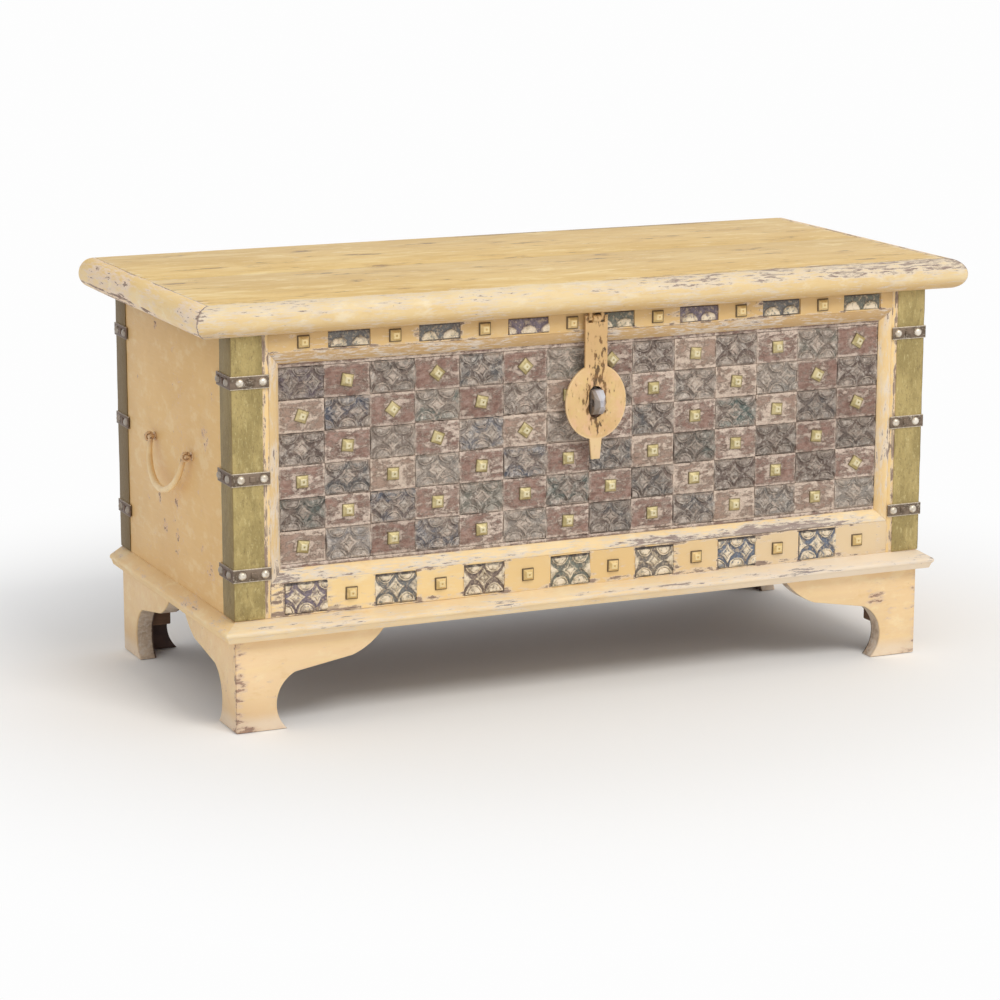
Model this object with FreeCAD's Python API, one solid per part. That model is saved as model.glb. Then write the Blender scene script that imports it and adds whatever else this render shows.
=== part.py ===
import FreeCAD, Part
import math
import os

# Wooden trunk with a carved and studded front, bracket feet, a hinged lid, a hasp and two bail handles.
# Millimetres. X runs along the trunk, -Y is the front, +Z is up, the floor is at Z = 0.

# Overall sizes
lid_length = 900.0
lid_depth = 400.0
total_height = 450.0

# Lid
lid_thick = 33.0
lid_plank_thick = 22.0
lid_edge_width = 19.0
lid_rim_width = 60.0
lid_batten_width = 55.0
lid_batten_offset = 124.0
lid_overhang_front = 22.0
lid_overhang_end = 43.0

# Stand: bracket feet under a moulded base frame
foot_height = 100.0
foot_board = 20.0
foot_length = 168.0
foot_end_gap = 42.0
foot_toe = 56.0
foot_neck = 45.0
foot_neck_height = 31.0
foot_hollow_end = 66.0
foot_hollow_height = 60.0
foot_wing_length = 38.0
foot_wing_height = 71.0
foot_wing_bulge = 2.6
foot_block = 22.0
foot_block_lift = 34.0
base_thick = 20.0
base_proud = 15.0
base_inside = 45.0
base_nose_drop = 8.0
base_nose_height = 6.0
base_nose_set = 1.8
base_undercut = 4.0

# Body boards
board_thick = 20.0
bottom_thick = 12.0

# Framed front
frame_thick = 22.0
stile_width = 40.0
top_rail_height = 20.5
bottom_rail_height = 36.5
tenon_length = 24.0
tenon_shoulder = 4.0
tenon_wall = 1.4
joint_clearance = 0.2
panel_recess = 8.0
panel_thick = 12.0
tongue_depth = 8.0
tongue_thick = 6.0
tongue_set = 3.0
bead_width = 13.0
bead_flat = 2.0
bead_lip = 1.0
bead_crown = 0.9

# Checkerboard of carved tiles and brass studs on the front
cell_columns = 14
cell_rows = 6
cell_margin = 4.0
tile_gap_x = 4.0
tile_gap_z = 2.0
tile_rail_margin = 1.75
tile_plate = 1.0
tile_relief = 1.4
tile_border = 1.6
petal_gap = 1.6
petal_rise = 11.0
diamond_half = 7.0
stud_size = 13.0
stud_edge = 1.2
stud_height = 6.0
stud_top = 2.8

# Studs that were driven in turned, by row and column, in degrees
stud_turns = {
    (1, 1): 12.0, (1, 3): 40.0, (1, 5): 45.0, (1, 7): 45.0, (1, 9): 5.0, (1, 13): 32.0,
    (2, 0): 20.0, (2, 2): 40.0, (2, 4): 14.0, (2, 10): 6.0, (2, 12): 28.0,
    (3, 1): 6.0, (3, 3): 22.0, (3, 5): 36.0, (3, 11): 4.0, (3, 13): 24.0,
    (4, 4): 5.0, (4, 12): 7.0, (5, 13): 34.0, (6, 0): 8.0, (6, 6): 4.0,
}

# Corner metalwork
brass_leg = 33.0
brass_thick = 1.0
brass_end_gap = 0.5
strap_leg = 40.0
strap_width = 14.0
strap_thick = 1.5
strap_end = 48.0
nail_radius = 4.5
nail_crown = 2.4
nail_height = 3.0
nail_facets = 6
nail_corner = 8.0
nail_end = 7.0

# Back hinges
hinge_spacing = 540.0
hinge_length = 70.0
hinge_leaf_height = 30.0
hinge_leaf_thick = 2.0
hinge_knuckle_radius = 4.5
hinge_standoff = 0.3
hinge_pin_radius = 2.0
hinge_middle = 24.0
hinge_gap = 0.5
hinge_nail_radius = 3.4
hinge_nail_crown = 1.6
hinge_nail_height = 1.2
hinge_nail_inset = 9.0
running_clearance = 0.05

# Hasp and lock staple
hasp_thick = 3.0
hasp_standoff = 6.1
hasp_drop = 6.5
hasp_strap_width = 26.0
hasp_tongue = 8.8
hasp_ring_wall = 2.0
hasp_notch = 5.4
hasp_notch_depth = 4.2
hasp_horn = 3.5
hasp_plate_half_width = 35.5
hasp_plate_half_height = 40.5
hasp_tail_reach = 62.0
hasp_tail_root = 21.0
hasp_tail_top = 17.6
hasp_tail_end = 9.8
slot_clearance = 1.75
slot_end_clearance = 4.0
eye_wire = 1.8
eye_leg = 3.4
eye_depth = 14.0
lock_drop = 96.0
lock_width = 13.0
lock_height = 26.0
lock_reach = 28.5
lock_bore_radius = 4.2
lock_bore_wall = 4.0
lock_nose = 3.7
lock_nose_half = 3.0
lock_face_half = 3.5
lock_slope = 9.0
tang_width = 9.0
tang_height = 12.0

# Bail handles on both ends
handle_height = 270.0
handle_eye_half = 61.5
handle_standoff = 7.0
bail_drop = 46.0
bail_lean = 10.0
bail_eye_gap = 0.3
bail_wire = 3.5
bail_facets = 8
bail_bends = 16
bail_pin_radius = 2.6
bail_pin_length = 12.0
eye_ring_wall = 3.2
eye_facets = 8
eye_ring_width = 4.4
eye_stem = 4.2
eye_stem_depth = 15.0

# Places that follow from the sizes above
half_length = lid_length / 2
hinge_reach = hinge_standoff + 2 * hinge_knuckle_radius
lid_front = -(lid_depth + hinge_reach) / 2
lid_back = lid_front + lid_depth
lid_z = total_height - lid_thick
plank_z = total_height - lid_plank_thick
body_half = half_length - lid_overhang_end
body_front = lid_front + lid_overhang_front
body_back = lid_back
body_z = foot_height + base_thick
frame_back = body_front + frame_thick
side_inner = body_half - board_thick
back_inner = body_back - board_thick
mid_depth = (frame_back + back_inner) / 2
panel_face = body_front + panel_recess
panel_back = panel_face + panel_thick
open_half = body_half - stile_width
open_z0 = body_z + bottom_rail_height
open_z1 = lid_z - top_rail_height
tongue_y0 = panel_face + tongue_set
tongue_y1 = tongue_y0 + tongue_thick
sight_half = open_half - bead_width
sight_z1 = open_z1 - bead_width
sight_height = sight_z1 - open_z0 - bead_width
cell_x = 2 * sight_half / cell_columns
cell_z = (sight_height - 2 * cell_margin) / cell_rows
tile_depth = tile_plate + tile_relief
hinge_y = lid_back + hinge_standoff + hinge_knuckle_radius
lock_z = lid_z - lock_drop
lock_tip = panel_face - lock_reach
hasp_y = body_front - hasp_standoff
hasp_z = lid_z - hasp_drop
handle_mid = (body_front + body_back) / 2
bail_half = handle_eye_half - eye_ring_width / 2 - bail_wire - bail_eye_gap
up = FreeCAD.Vector(0, 0, 1)
parts = {}


def vec(x, y, z):
    return FreeCAD.Vector(x, y, z)


def block(x0, x1, y0, y1, z0, z1):
    return Part.makeBox(x1 - x0, y1 - y0, z1 - z0, vec(x0, y0, z0))


def prism(points, along):
    return Part.Face(Part.makePolygon(points + points[:1])).extrude(along)


def line(start, end):
    return Part.LineSegment(start, end).toShape()


def arc(start, middle, end):
    return Part.Arc(start, middle, end).toShape()


def outline_prism(edges, along):
    return Part.Face(Part.Wire(edges)).extrude(along)


def other_side(shape):
    return shape.mirror(vec(0, 0, 0), vec(1, 0, 0))


def group(shapes):
    return Part.makeCompound(shapes)


def mitre(x, y, dx, dy, z0, z1):
    # Triangle between the corner (x, y), its neighbour along Y and the far corner
    corners = [vec(x, y, z0), vec(x, y + dy, z0), vec(x + dx, y + dy, z0)]
    return prism(corners, up * (z1 - z0))


def mitre_across(x, y, dx, dy, z0, z1):
    # The other half of the same square
    corners = [vec(x, y, z0), vec(x + dx, y, z0), vec(x + dx, y + dy, z0)]
    return prism(corners, up * (z1 - z0))


# Bracket feet

def foot_bracket(corner, along, inward, length):
    # One cut-out board from a corner: a toe, a hollow, then a wing that curls up to the base
    def at(u, z):
        return corner + along * u + up * z

    wing_start = length - foot_wing_length
    wing_u = (wing_start + length) / 2 + foot_wing_bulge
    wing_z = (foot_wing_height + foot_height) / 2 - foot_wing_bulge
    edges = [
        line(at(0, foot_height), at(0, 0)),
        line(at(0, 0), at(foot_toe, 0)),
        arc(at(foot_toe, 0), at(foot_neck, foot_neck_height), at(foot_hollow_end, foot_hollow_height)),
        line(at(foot_hollow_end, foot_hollow_height), at(wing_start, foot_wing_height)),
        arc(at(wing_start, foot_wing_height), at(wing_u, wing_z), at(length, foot_height)),
        line(at(length, foot_height), at(0, foot_height)),
    ]
    board = outline_prism(edges, inward * foot_board)
    far = inward * foot_board
    wedge = prism([corner, corner + far, corner + far + along * foot_board], up * foot_height)
    return board.cut(wedge)


def feet():
    blocks = []
    end_length = (body_back - body_front - foot_end_gap) / 2
    for end, side in ((-1, "left"), (1, "right")):
        for face_y, inward_y, row in ((body_front, 1, "front"), (body_back, -1, "back")):
            corner = vec(end * body_half, face_y, 0)
            along_x = vec(-end, 0, 0)
            along_y = vec(0, inward_y, 0)
            name = "foot_" + row + "_" + side
            parts[name + "_long"] = foot_bracket(corner, along_x, along_y, foot_length)
            parts[name + "_end"] = foot_bracket(corner, along_y, along_x, end_length)
            inner = corner + (along_x + along_y) * foot_board + up * foot_block_lift
            size = along_x * foot_block
            square = [inner, inner + size, inner + size + along_y * foot_block, inner + along_y * foot_block]
            blocks.append(prism(square, up * (foot_height - foot_block_lift)))
    parts["foot_blocks"] = group(blocks)


# Moulded base frame: a sloped top edge, a rounded nose and an undercut below it

def base_section(place):
    # place turns a distance outwards from the body and a height into a point
    nose_z = body_z - base_nose_drop
    shoulder = base_proud - base_nose_set
    low_z = nose_z - base_nose_height
    nose_mid = nose_z - base_nose_height / 2
    return [
        line(place(-base_inside, foot_height), place(-base_inside, body_z)),
        line(place(-base_inside, body_z), place(0, body_z)),
        line(place(0, body_z), place(shoulder, nose_z)),
        arc(place(shoulder, nose_z), place(base_proud, nose_mid), place(shoulder, low_z)),
        line(place(shoulder, low_z), place(base_proud - base_undercut, foot_height)),
        line(place(base_proud - base_undercut, foot_height), place(-base_inside, foot_height)),
    ]


def base_frame():
    outer = body_half + base_proud
    width = base_proud + base_inside
    front = body_front - base_proud
    low = foot_height
    high = body_z
    bar = outline_prism(base_section(lambda p, z: vec(-outer, body_front - p, z)), vec(2 * outer, 0, 0))
    bar = bar.cut(mitre(-outer, front, width, width, low, high))
    parts["base_moulding_front"] = bar.cut(mitre(outer, front, -width, width, low, high))
    run = vec(0, body_back - front, 0)
    left = outline_prism(base_section(lambda p, z: vec(-body_half - p, front, z)), run)
    left = left.cut(mitre_across(-outer, front, width, width, low, high))
    parts["base_moulding_left"] = left
    parts["base_moulding_right"] = other_side(left)
    inner = body_half - base_inside
    parts["base_rail_back"] = block(-inner, inner, body_back - base_inside, body_back, low, high)


# Plain boards of the body

def body_boards():
    side = block(-body_half, -side_inner, frame_back, back_inner, body_z, lid_z)
    for y in (handle_mid - handle_eye_half, handle_mid + handle_eye_half):
        side = side.cut(eye_stem_box(y, joint_clearance))
    parts["side_board_left"] = side
    parts["side_board_right"] = other_side(side)
    split_z = (body_z + lid_z) / 2
    parts["back_board_lower"] = block(-body_half, body_half, back_inner, body_back, body_z, split_z)
    parts["back_board_upper"] = block(-body_half, body_half, back_inner, body_back, split_z, lid_z)
    top = body_z + bottom_thick
    parts["bottom_board_front"] = block(-side_inner, side_inner, frame_back, mid_depth, body_z, top)
    parts["bottom_board_rear"] = block(-side_inner, side_inner, mid_depth, back_inner, body_z, top)


# Checkerboard cells: row 0 is the top rail, the panel's rows follow, and the last is the bottom rail

def cell_place(row, column):
    x = -sight_half + (column + 0.5) * cell_x
    if row == 0:
        return x, (open_z1 + lid_z) / 2
    if row == cell_rows + 1:
        return x, body_z + bottom_rail_height / 2
    return x, sight_z1 - cell_margin - (row - 0.5) * cell_z


def is_carved(row, column):
    return (row + column) % 2 == 1


def row_cells(row, carved):
    return [column for column in range(cell_columns) if is_carved(row, column) == carved]


def tile_height(row):
    if row == 0:
        return top_rail_height - 2 * tile_rail_margin
    if row == cell_rows + 1:
        return bottom_rail_height - 2 * tile_rail_margin
    return cell_z - tile_gap_z


tile_width = cell_x - tile_gap_x


def petal(x, edge_z, sign):
    # Leaf with its flat side along the tile's edge and its tip towards the middle
    half = tile_width / 4 - petal_gap
    plan = ((-half, edge_z), (0, edge_z + sign * petal_rise), (half, edge_z))
    return prism([vec(x + u, -tile_plate, z) for u, z in plan], vec(0, -tile_relief, 0))


def carved_tile(height, whole):
    # A thin plate with two petals above, two below and a diamond between them;
    # the rail under the lid shows only the lower half of the same figure
    half_h = height / 2
    figure = Part.makeBox(tile_width, tile_plate, height, vec(-tile_width / 2, -tile_plate, -half_h))
    middle = 0.0 if whole else half_h - tile_border
    for x in (-tile_width / 4, tile_width / 4):
        figure = figure.fuse(petal(x, tile_border - half_h, 1))
        if whole:
            figure = figure.fuse(petal(x, half_h - tile_border, -1))
    plan = [(-diamond_half, middle), (0, middle - diamond_half), (diamond_half, middle)]
    if whole:
        plan.append((0, middle + diamond_half))
    diamond = prism([vec(x, -tile_plate, z) for x, z in plan], vec(0, -tile_relief, 0))
    return figure.fuse(diamond).removeSplitter()


def cell_face(row):
    return panel_face if 1 <= row <= cell_rows else body_front


def row_tiles(row):
    model = carved_tile(tile_height(row), row != 0)
    tiles = []
    for column in row_cells(row, True):
        x, z = cell_place(row, column)
        tiles.append(model.translated(vec(x, cell_face(row) + tile_depth, z)))
    return tiles


def row_pockets(row):
    half_w = tile_width / 2 + joint_clearance
    half_h = tile_height(row) / 2 + joint_clearance
    y = cell_face(row)
    pockets = []
    for column in row_cells(row, True):
        x, z = cell_place(row, column)
        pockets.append(block(x - half_w, x + half_w, y, y + tile_depth, z - half_h, z + half_h))
    return pockets


def brass_stud():
    # Square pyramid nail head with a small flat top
    half = stud_size / 2
    top = stud_top / 2
    base = Part.makeBox(stud_size, stud_edge, stud_size, vec(-half, 0, -half))
    cap = Part.makeWedge(-half, stud_edge, -half, -top, -top, half, stud_height, half, top, top)
    head = base.fuse(cap)
    head.rotate(vec(0, 0, 0), vec(1, 0, 0), 180)
    return head


def row_studs(row):
    model = brass_stud()
    studs = []
    for column in row_cells(row, False):
        x, z = cell_place(row, column)
        stud = model.copy()
        stud.rotate(vec(0, 0, 0), vec(0, 1, 0), stud_turns.get((row, column), 0.0))
        studs.append(stud.translated(vec(x, cell_face(row), z)))
    return studs


# Framed front: stiles, rails, the panel in its groove, beads, tiles and studs

def tongue_space(grow):
    half = open_half + tongue_depth + grow
    low = open_z0 - tongue_depth - grow
    high = open_z1 + tongue_depth + grow
    return block(-half, half, tongue_y0 - grow, tongue_y1 + grow, low, high)


def tenons(grow):
    # Two tenons on the left ends of the bottom and the top rail
    end = -open_half - tenon_length - grow
    start = -open_half + grow
    spans = (
        (body_z + tenon_shoulder, open_z0 - tongue_depth - tenon_wall),
        (open_z1 + tongue_depth + tenon_wall, lid_z - tenon_shoulder),
    )
    y0 = tongue_y0 - grow
    y1 = tongue_y1 + grow
    return [block(end, start, y0, y1, low - grow, high + grow) for low, high in spans]


def lock_tang(grow):
    half_w = tang_width / 2 + grow
    half_h = tang_height / 2 + grow
    return block(-half_w, half_w, panel_face, panel_back, lock_z - half_h, lock_z + half_h)


def framed_front():
    groove = tongue_space(joint_clearance)
    stile = block(-body_half, -open_half, body_front, frame_back, body_z, lid_z).cut(groove)
    for space in tenons(joint_clearance):
        stile = stile.cut(space)
    parts["front_stile_left"] = stile
    parts["front_stile_right"] = other_side(stile)

    lower_tenon, upper_tenon = tenons(0)
    bottom = block(-open_half, open_half, body_front, frame_back, body_z, open_z0).cut(groove)
    bottom = bottom.cut(row_pockets(cell_rows + 1))
    parts["front_bottom_rail"] = bottom.fuse([lower_tenon, other_side(lower_tenon)]).removeSplitter()
    top = block(-open_half, open_half, body_front, frame_back, open_z1, lid_z).cut(groove)
    top = top.cut(row_pockets(0))
    parts["front_top_rail"] = top.fuse([upper_tenon, other_side(upper_tenon)]).removeSplitter()

    panel = block(-open_half, open_half, panel_face, panel_back, open_z0, open_z1)
    panel = panel.fuse(tongue_space(0)).removeSplitter()
    tiles = []
    studs = []
    for row in range(1, cell_rows + 1):
        panel = panel.cut(row_pockets(row))
        tiles.extend(row_tiles(row))
        studs.extend(row_studs(row))
    tang_space = lock_tang(joint_clearance)
    parts["front_panel"] = panel.cut(tang_space)
    parts["carved_tiles_panel"] = group([tile.cut(tang_space) for tile in tiles])
    parts["panel_studs"] = group(studs)
    rails = (0, cell_rows + 1)
    parts["carved_tiles_rails"] = group([tile for row in rails for tile in row_tiles(row)])
    parts["rail_studs"] = group([stud for row in rails for stud in row_studs(row)])


def bead_section(place):
    # place turns a distance in from the frame's edge and a depth below its face into a point
    rise = panel_recess - bead_lip
    middle = (bead_flat + bead_width) / 2
    return [
        line(place(0, panel_recess), place(0, 0)),
        line(place(0, 0), place(bead_flat, 0)),
        arc(place(bead_flat, 0), place(middle + bead_crown, rise / 2 - bead_crown), place(bead_width, rise)),
        line(place(bead_width, rise), place(bead_width, panel_recess)),
        line(place(bead_width, panel_recess), place(0, panel_recess)),
    ]


def bead_corner(x, z, dx, dz, across):
    far = vec(x + dx, body_front, z + dz)
    near = vec(x + dx, body_front, z) if across else vec(x, body_front, z + dz)
    return prism([vec(x, body_front, z), near, far], vec(0, panel_recess, 0))


def panel_beads():
    length = vec(2 * open_half, 0, 0)
    for name, z, inward in (("top", open_z1, -1), ("bottom", open_z0, 1)):
        section = bead_section(lambda s, d: vec(-open_half, body_front + d, z + inward * s))
        bead = outline_prism(section, length)
        for end in (-1, 1):
            bead = bead.cut(bead_corner(end * open_half, z, -end * bead_width, inward * bead_width, False))
        parts["panel_bead_" + name] = bead
    section = bead_section(lambda s, d: vec(-open_half + s, body_front + d, open_z0))
    bead = outline_prism(section, vec(0, 0, open_z1 - open_z0))
    bead = bead.cut(bead_corner(-open_half, open_z0, bead_width, bead_width, True))
    bead = bead.cut(bead_corner(-open_half, open_z1, bead_width, -bead_width, True))
    parts["panel_bead_left"] = bead
    parts["panel_bead_right"] = other_side(bead)


# Brass angles, iron straps and their nails on the four corners

def corner_point(end, row, a, b, z):
    # a and b run inwards along X and Y from the body's corner
    face_y = body_front if row == "front" else body_back
    inward = 1 if row == "front" else -1
    return vec(end * (body_half - a), face_y + inward * b, z)


def corner_angle(end, row, inner, outer, leg, z0, z1):
    plan = ((outer, outer), (leg, outer), (leg, inner), (inner, inner), (inner, leg), (outer, leg))
    return prism([corner_point(end, row, a, b, z0) for a, b in plan], up * (z1 - z0))


def forged_head(radius, crown, height):
    # Hammered nail head: a low faceted dome
    def ring(r, z):
        turns = [2 * math.pi * (k + 0.5) / nail_facets for k in range(nail_facets)]
        return [vec(r * math.cos(t), r * math.sin(t), z) for t in turns]

    low = ring(radius, 0)
    high = ring(crown, height)
    faces = [low, high]
    for k in range(nail_facets):
        following = (k + 1) % nail_facets
        faces.append([low[k], low[following], high[following], high[k]])
    shell = Part.makeShell([Part.Face(Part.makePolygon(face + face[:1])) for face in faces])
    solid = Part.Solid(shell)
    if solid.Volume < 0:
        solid.reverse()
    return solid


def corner_metal():
    nails = []
    nail = forged_head(nail_radius, nail_crown, nail_height)
    strap_heights = (body_z + strap_end, (body_z + lid_z) / 2, lid_z - strap_end)
    strap_face = -brass_thick - strap_thick
    for row in ("front", "back"):
        straps = []
        outward_y = vec(0, -1, 0) if row == "front" else vec(0, 1, 0)
        for end, side in ((-1, "left"), (1, "right")):
            low = body_z + brass_end_gap
            high = lid_z - brass_end_gap
            angle = corner_angle(end, row, 0, -brass_thick, brass_leg, low, high)
            parts["brass_angle_" + row + "_" + side] = angle
            for z in strap_heights:
                low = z - strap_width / 2
                high = z + strap_width / 2
                straps.append(corner_angle(end, row, -brass_thick, strap_face, strap_leg, low, high))
                for reach in (nail_corner, strap_leg - nail_end):
                    seats = ((reach, strap_face, outward_y), (strap_face, reach, vec(end, 0, 0)))
                    for a, b, outward in seats:
                        turn = FreeCAD.Rotation(up, outward)
                        place = FreeCAD.Placement(corner_point(end, row, a, b, z), turn)
                        copy = nail.copy()
                        copy.Placement = place
                        nails.append(copy)
        parts["corner_straps_" + row] = group(straps)
    parts["strap_nails"] = group(nails)


# Lid: two planks on a rim, with a bullnose edge on the front and both ends

def edge_section(place):
    # place turns a distance in from the lid's edge and a height into a point
    nose = lid_thick / 2
    return [
        line(place(lid_edge_width, lid_z), place(nose, lid_z)),
        arc(place(nose, lid_z), place(0, lid_z + nose), place(nose, total_height)),
        line(place(nose, total_height), place(lid_edge_width, total_height)),
        line(place(lid_edge_width, total_height), place(lid_edge_width, lid_z)),
    ]


def lid():
    width = lid_edge_width
    section = edge_section(lambda s, z: vec(-half_length, lid_front + s, z))
    edge = outline_prism(section, vec(lid_length, 0, 0))
    edge = edge.cut(mitre(-half_length, lid_front, width, width, lid_z, total_height))
    edge = edge.cut(mitre(half_length, lid_front, -width, width, lid_z, total_height))
    for leg in eye_legs(joint_clearance / 2):
        edge = edge.cut(leg)
    parts["lid_edge_front"] = edge
    section = edge_section(lambda s, z: vec(-half_length + s, lid_front, z))
    left = outline_prism(section, vec(0, lid_depth, 0))
    left = left.cut(mitre_across(-half_length, lid_front, width, width, lid_z, total_height))
    parts["lid_edge_left"] = left
    parts["lid_edge_right"] = other_side(left)

    inner_half = half_length - width
    inner_front = lid_front + width
    split_y = (inner_front + lid_back) / 2
    parts["lid_plank_front"] = block(-inner_half, inner_half, inner_front, split_y, plank_z, total_height)
    parts["lid_plank_rear"] = block(-inner_half, inner_half, split_y, lid_back, plank_z, total_height)
    rim_front = inner_front + lid_rim_width
    rim_back = lid_back - lid_rim_width
    rim_end = inner_half - lid_rim_width
    end_rail = block(-inner_half, -rim_end, rim_front, rim_back, lid_z, plank_z)
    parts["lid_rim_rails"] = group([
        block(-inner_half, inner_half, inner_front, rim_front, lid_z, plank_z),
        block(-inner_half, inner_half, rim_back, lid_back, lid_z, plank_z),
        end_rail,
        other_side(end_rail),
    ])
    near = lid_batten_offset - lid_batten_width / 2
    batten = block(-near - lid_batten_width, -near, rim_front, rim_back, lid_z, plank_z)
    parts["lid_battens"] = group([batten, other_side(batten)])


# Flat hinges with an outside knuckle on the back

def hinge_cylinder(radius, x0, x1):
    return Part.makeCylinder(radius, x1 - x0, vec(x0, hinge_y, lid_z), vec(1, 0, 0))


def hinge_leaf(z0, z1, own, others):
    # own and others are the spans of this leaf's knuckles and of the other leaf's
    y1 = lid_back + hinge_leaf_thick
    half = hinge_length / 2
    leaf = block(-half, half, lid_back, y1, z0, z1)
    room = hinge_knuckle_radius + hinge_gap
    for x0, x1 in others:
        leaf = leaf.cut(block(x0 - hinge_gap, x1 + hinge_gap, lid_back, y1, lid_z - room, lid_z + room))
    for x0, x1 in own:
        leaf = leaf.fuse(hinge_cylinder(hinge_knuckle_radius, x0, x1))
    bore = hinge_cylinder(hinge_pin_radius + running_clearance, -half, half)
    return leaf.cut(bore).removeSplitter()


def hinge_nails(z):
    y = lid_back + hinge_leaf_thick
    reach = hinge_length / 2 - hinge_nail_inset
    nails = []
    for x in (-reach, 0, reach):
        nail = forged_head(hinge_nail_radius, hinge_nail_crown, hinge_nail_height)
        nail.Placement = FreeCAD.Placement(vec(x, y, z), FreeCAD.Rotation(up, vec(0, 1, 0)))
        nails.append(nail)
    return nails


def hinges():
    half = hinge_length / 2
    middle = hinge_middle / 2
    ends = ((-half, -middle - hinge_gap), (middle + hinge_gap, half))
    lower = hinge_leaf(lid_z - hinge_leaf_height, lid_z - hinge_gap, ends, ((-middle, middle),))
    upper = hinge_leaf(lid_z + hinge_gap, lid_z + hinge_leaf_height, ((-middle, middle),), ends)
    pin = hinge_cylinder(hinge_pin_radius, -half, half)
    nail_rise = hinge_leaf_height - hinge_nail_inset
    sets = {
        "hinge_leaves_lower": [lower],
        "hinge_leaves_upper": [upper],
        "hinge_pins": [pin],
        "hinge_nails_body": hinge_nails(lid_z - nail_rise),
        "hinge_nails_lid": hinge_nails(lid_z + nail_rise),
    }
    for name, shapes in sets.items():
        moves = (vec(-hinge_spacing / 2, 0, 0), vec(hinge_spacing / 2, 0, 0))
        parts[name] = group([shape.translated(move) for move in moves for shape in shapes])


# Hasp: an oval plate on a strap that swings on an eye under the lid, over a staple on the panel

def eye_legs(grow):
    # Square shanks of the eye, driven up into the lid's edge
    leg_x = hasp_tongue / 2 + hasp_notch / 2
    half = eye_leg / 2 + grow
    top = lid_z + eye_depth + grow
    return [block(x - half, x + half, hasp_y - half, hasp_y + half, hasp_z, top) for x in (-leg_x, leg_x)]


def hasp_eye():
    reach = hasp_tongue / 2 + hasp_notch / 2 + eye_leg / 2
    bar = Part.makeCylinder(eye_wire, 2 * reach, vec(-reach, hasp_y, hasp_z), vec(1, 0, 0))
    parts["hasp_eye"] = bar.fuse(eye_legs(0)).removeSplitter()


def oval_plate(half_x, half_z, z, y):
    centre = vec(0, y, z)
    tall = vec(0, y, z + half_z)
    wide = vec(half_x, y, z)
    ends = (tall, wide) if half_z >= half_x else (wide, tall)
    return outline_prism([Part.Ellipse(ends[0], ends[1], centre).toShape()], vec(0, hasp_thick, 0))


def hasp():
    front = hasp_y - hasp_thick / 2
    back = hasp_y + hasp_thick / 2
    half = hasp_strap_width / 2
    strap = block(-half, half, front, back, lock_z, hasp_z + hasp_horn)
    plate = oval_plate(hasp_plate_half_width, hasp_plate_half_height, lock_z, front)
    tail_z = lock_z - hasp_tail_reach
    tail = prism([
        vec(-hasp_tail_top / 2, front, lock_z - hasp_tail_root),
        vec(hasp_tail_top / 2, front, lock_z - hasp_tail_root),
        vec(hasp_tail_end / 2, front, tail_z),
        vec(-hasp_tail_end / 2, front, tail_z),
    ], vec(0, hasp_thick, 0))
    shape = strap.fuse([plate, tail])
    tongue = hasp_tongue / 2
    notch_z = hasp_z - hasp_notch_depth
    top = hasp_z + hasp_horn
    notch = block(-tongue - hasp_notch, -tongue, front, back, notch_z, top)
    shape = shape.cut([notch, other_side(notch)])
    bore = eye_wire + running_clearance
    ring = Part.makeCylinder(bore + hasp_ring_wall, hasp_tongue, vec(-tongue, hasp_y, hasp_z), vec(1, 0, 0))
    shape = shape.fuse(ring)
    shape = shape.cut(Part.makeCylinder(bore, hasp_tongue, vec(-tongue, hasp_y, hasp_z), vec(1, 0, 0)))
    slot_half = lock_width / 2 + slot_clearance
    slot_high = lock_height / 2 + slot_end_clearance - slot_half
    slot = block(-slot_half, slot_half, front, back, lock_z - slot_high, lock_z + slot_high)
    ends = [
        Part.makeCylinder(slot_half, hasp_thick, vec(0, front, lock_z + rise), vec(0, 1, 0))
        for rise in (-slot_high, slot_high)
    ]
    parts["hasp"] = shape.cut(slot.fuse(ends)).removeSplitter()


def lock_staple():
    # Faceted iron lug with a cross hole for a padlock, held by a tang through the panel
    half = lock_height / 2
    nose_y = lock_tip + lock_nose
    side = [
        vec(-lock_width / 2, panel_face, lock_z - half),
        vec(-lock_width / 2, lock_tip + lock_slope, lock_z - half),
        vec(-lock_width / 2, lock_tip, lock_z - lock_face_half),
        vec(-lock_width / 2, lock_tip, lock_z + lock_face_half),
        vec(-lock_width / 2, lock_tip + lock_slope, lock_z + half),
        vec(-lock_width / 2, panel_face, lock_z + half),
    ]
    lug = prism(side, vec(lock_width, 0, 0))
    low = lock_z - half
    plan = [
        vec(-lock_width / 2, panel_face, low),
        vec(-lock_width / 2, nose_y, low),
        vec(-lock_nose_half, lock_tip, low),
        vec(lock_nose_half, lock_tip, low),
        vec(lock_width / 2, nose_y, low),
        vec(lock_width / 2, panel_face, low),
    ]
    lug = lug.common(prism(plan, up * lock_height))
    bore_y = lock_tip + lock_bore_wall + lock_bore_radius
    start = vec(-lock_width / 2, bore_y, lock_z)
    lug = lug.cut(Part.makeCylinder(lock_bore_radius, lock_width, start, vec(1, 0, 0)))
    parts["lock_staple"] = lug.fuse(lock_tang(0)).removeSplitter()


# Bail handles in ring eyes

def eye_stem_box(y, grow):
    half = eye_stem / 2 + grow
    start = -body_half - handle_standoff
    tip = -body_half + eye_stem_depth + grow
    return block(start, tip, y - half, y + half, handle_height - half, handle_height + half)


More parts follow.
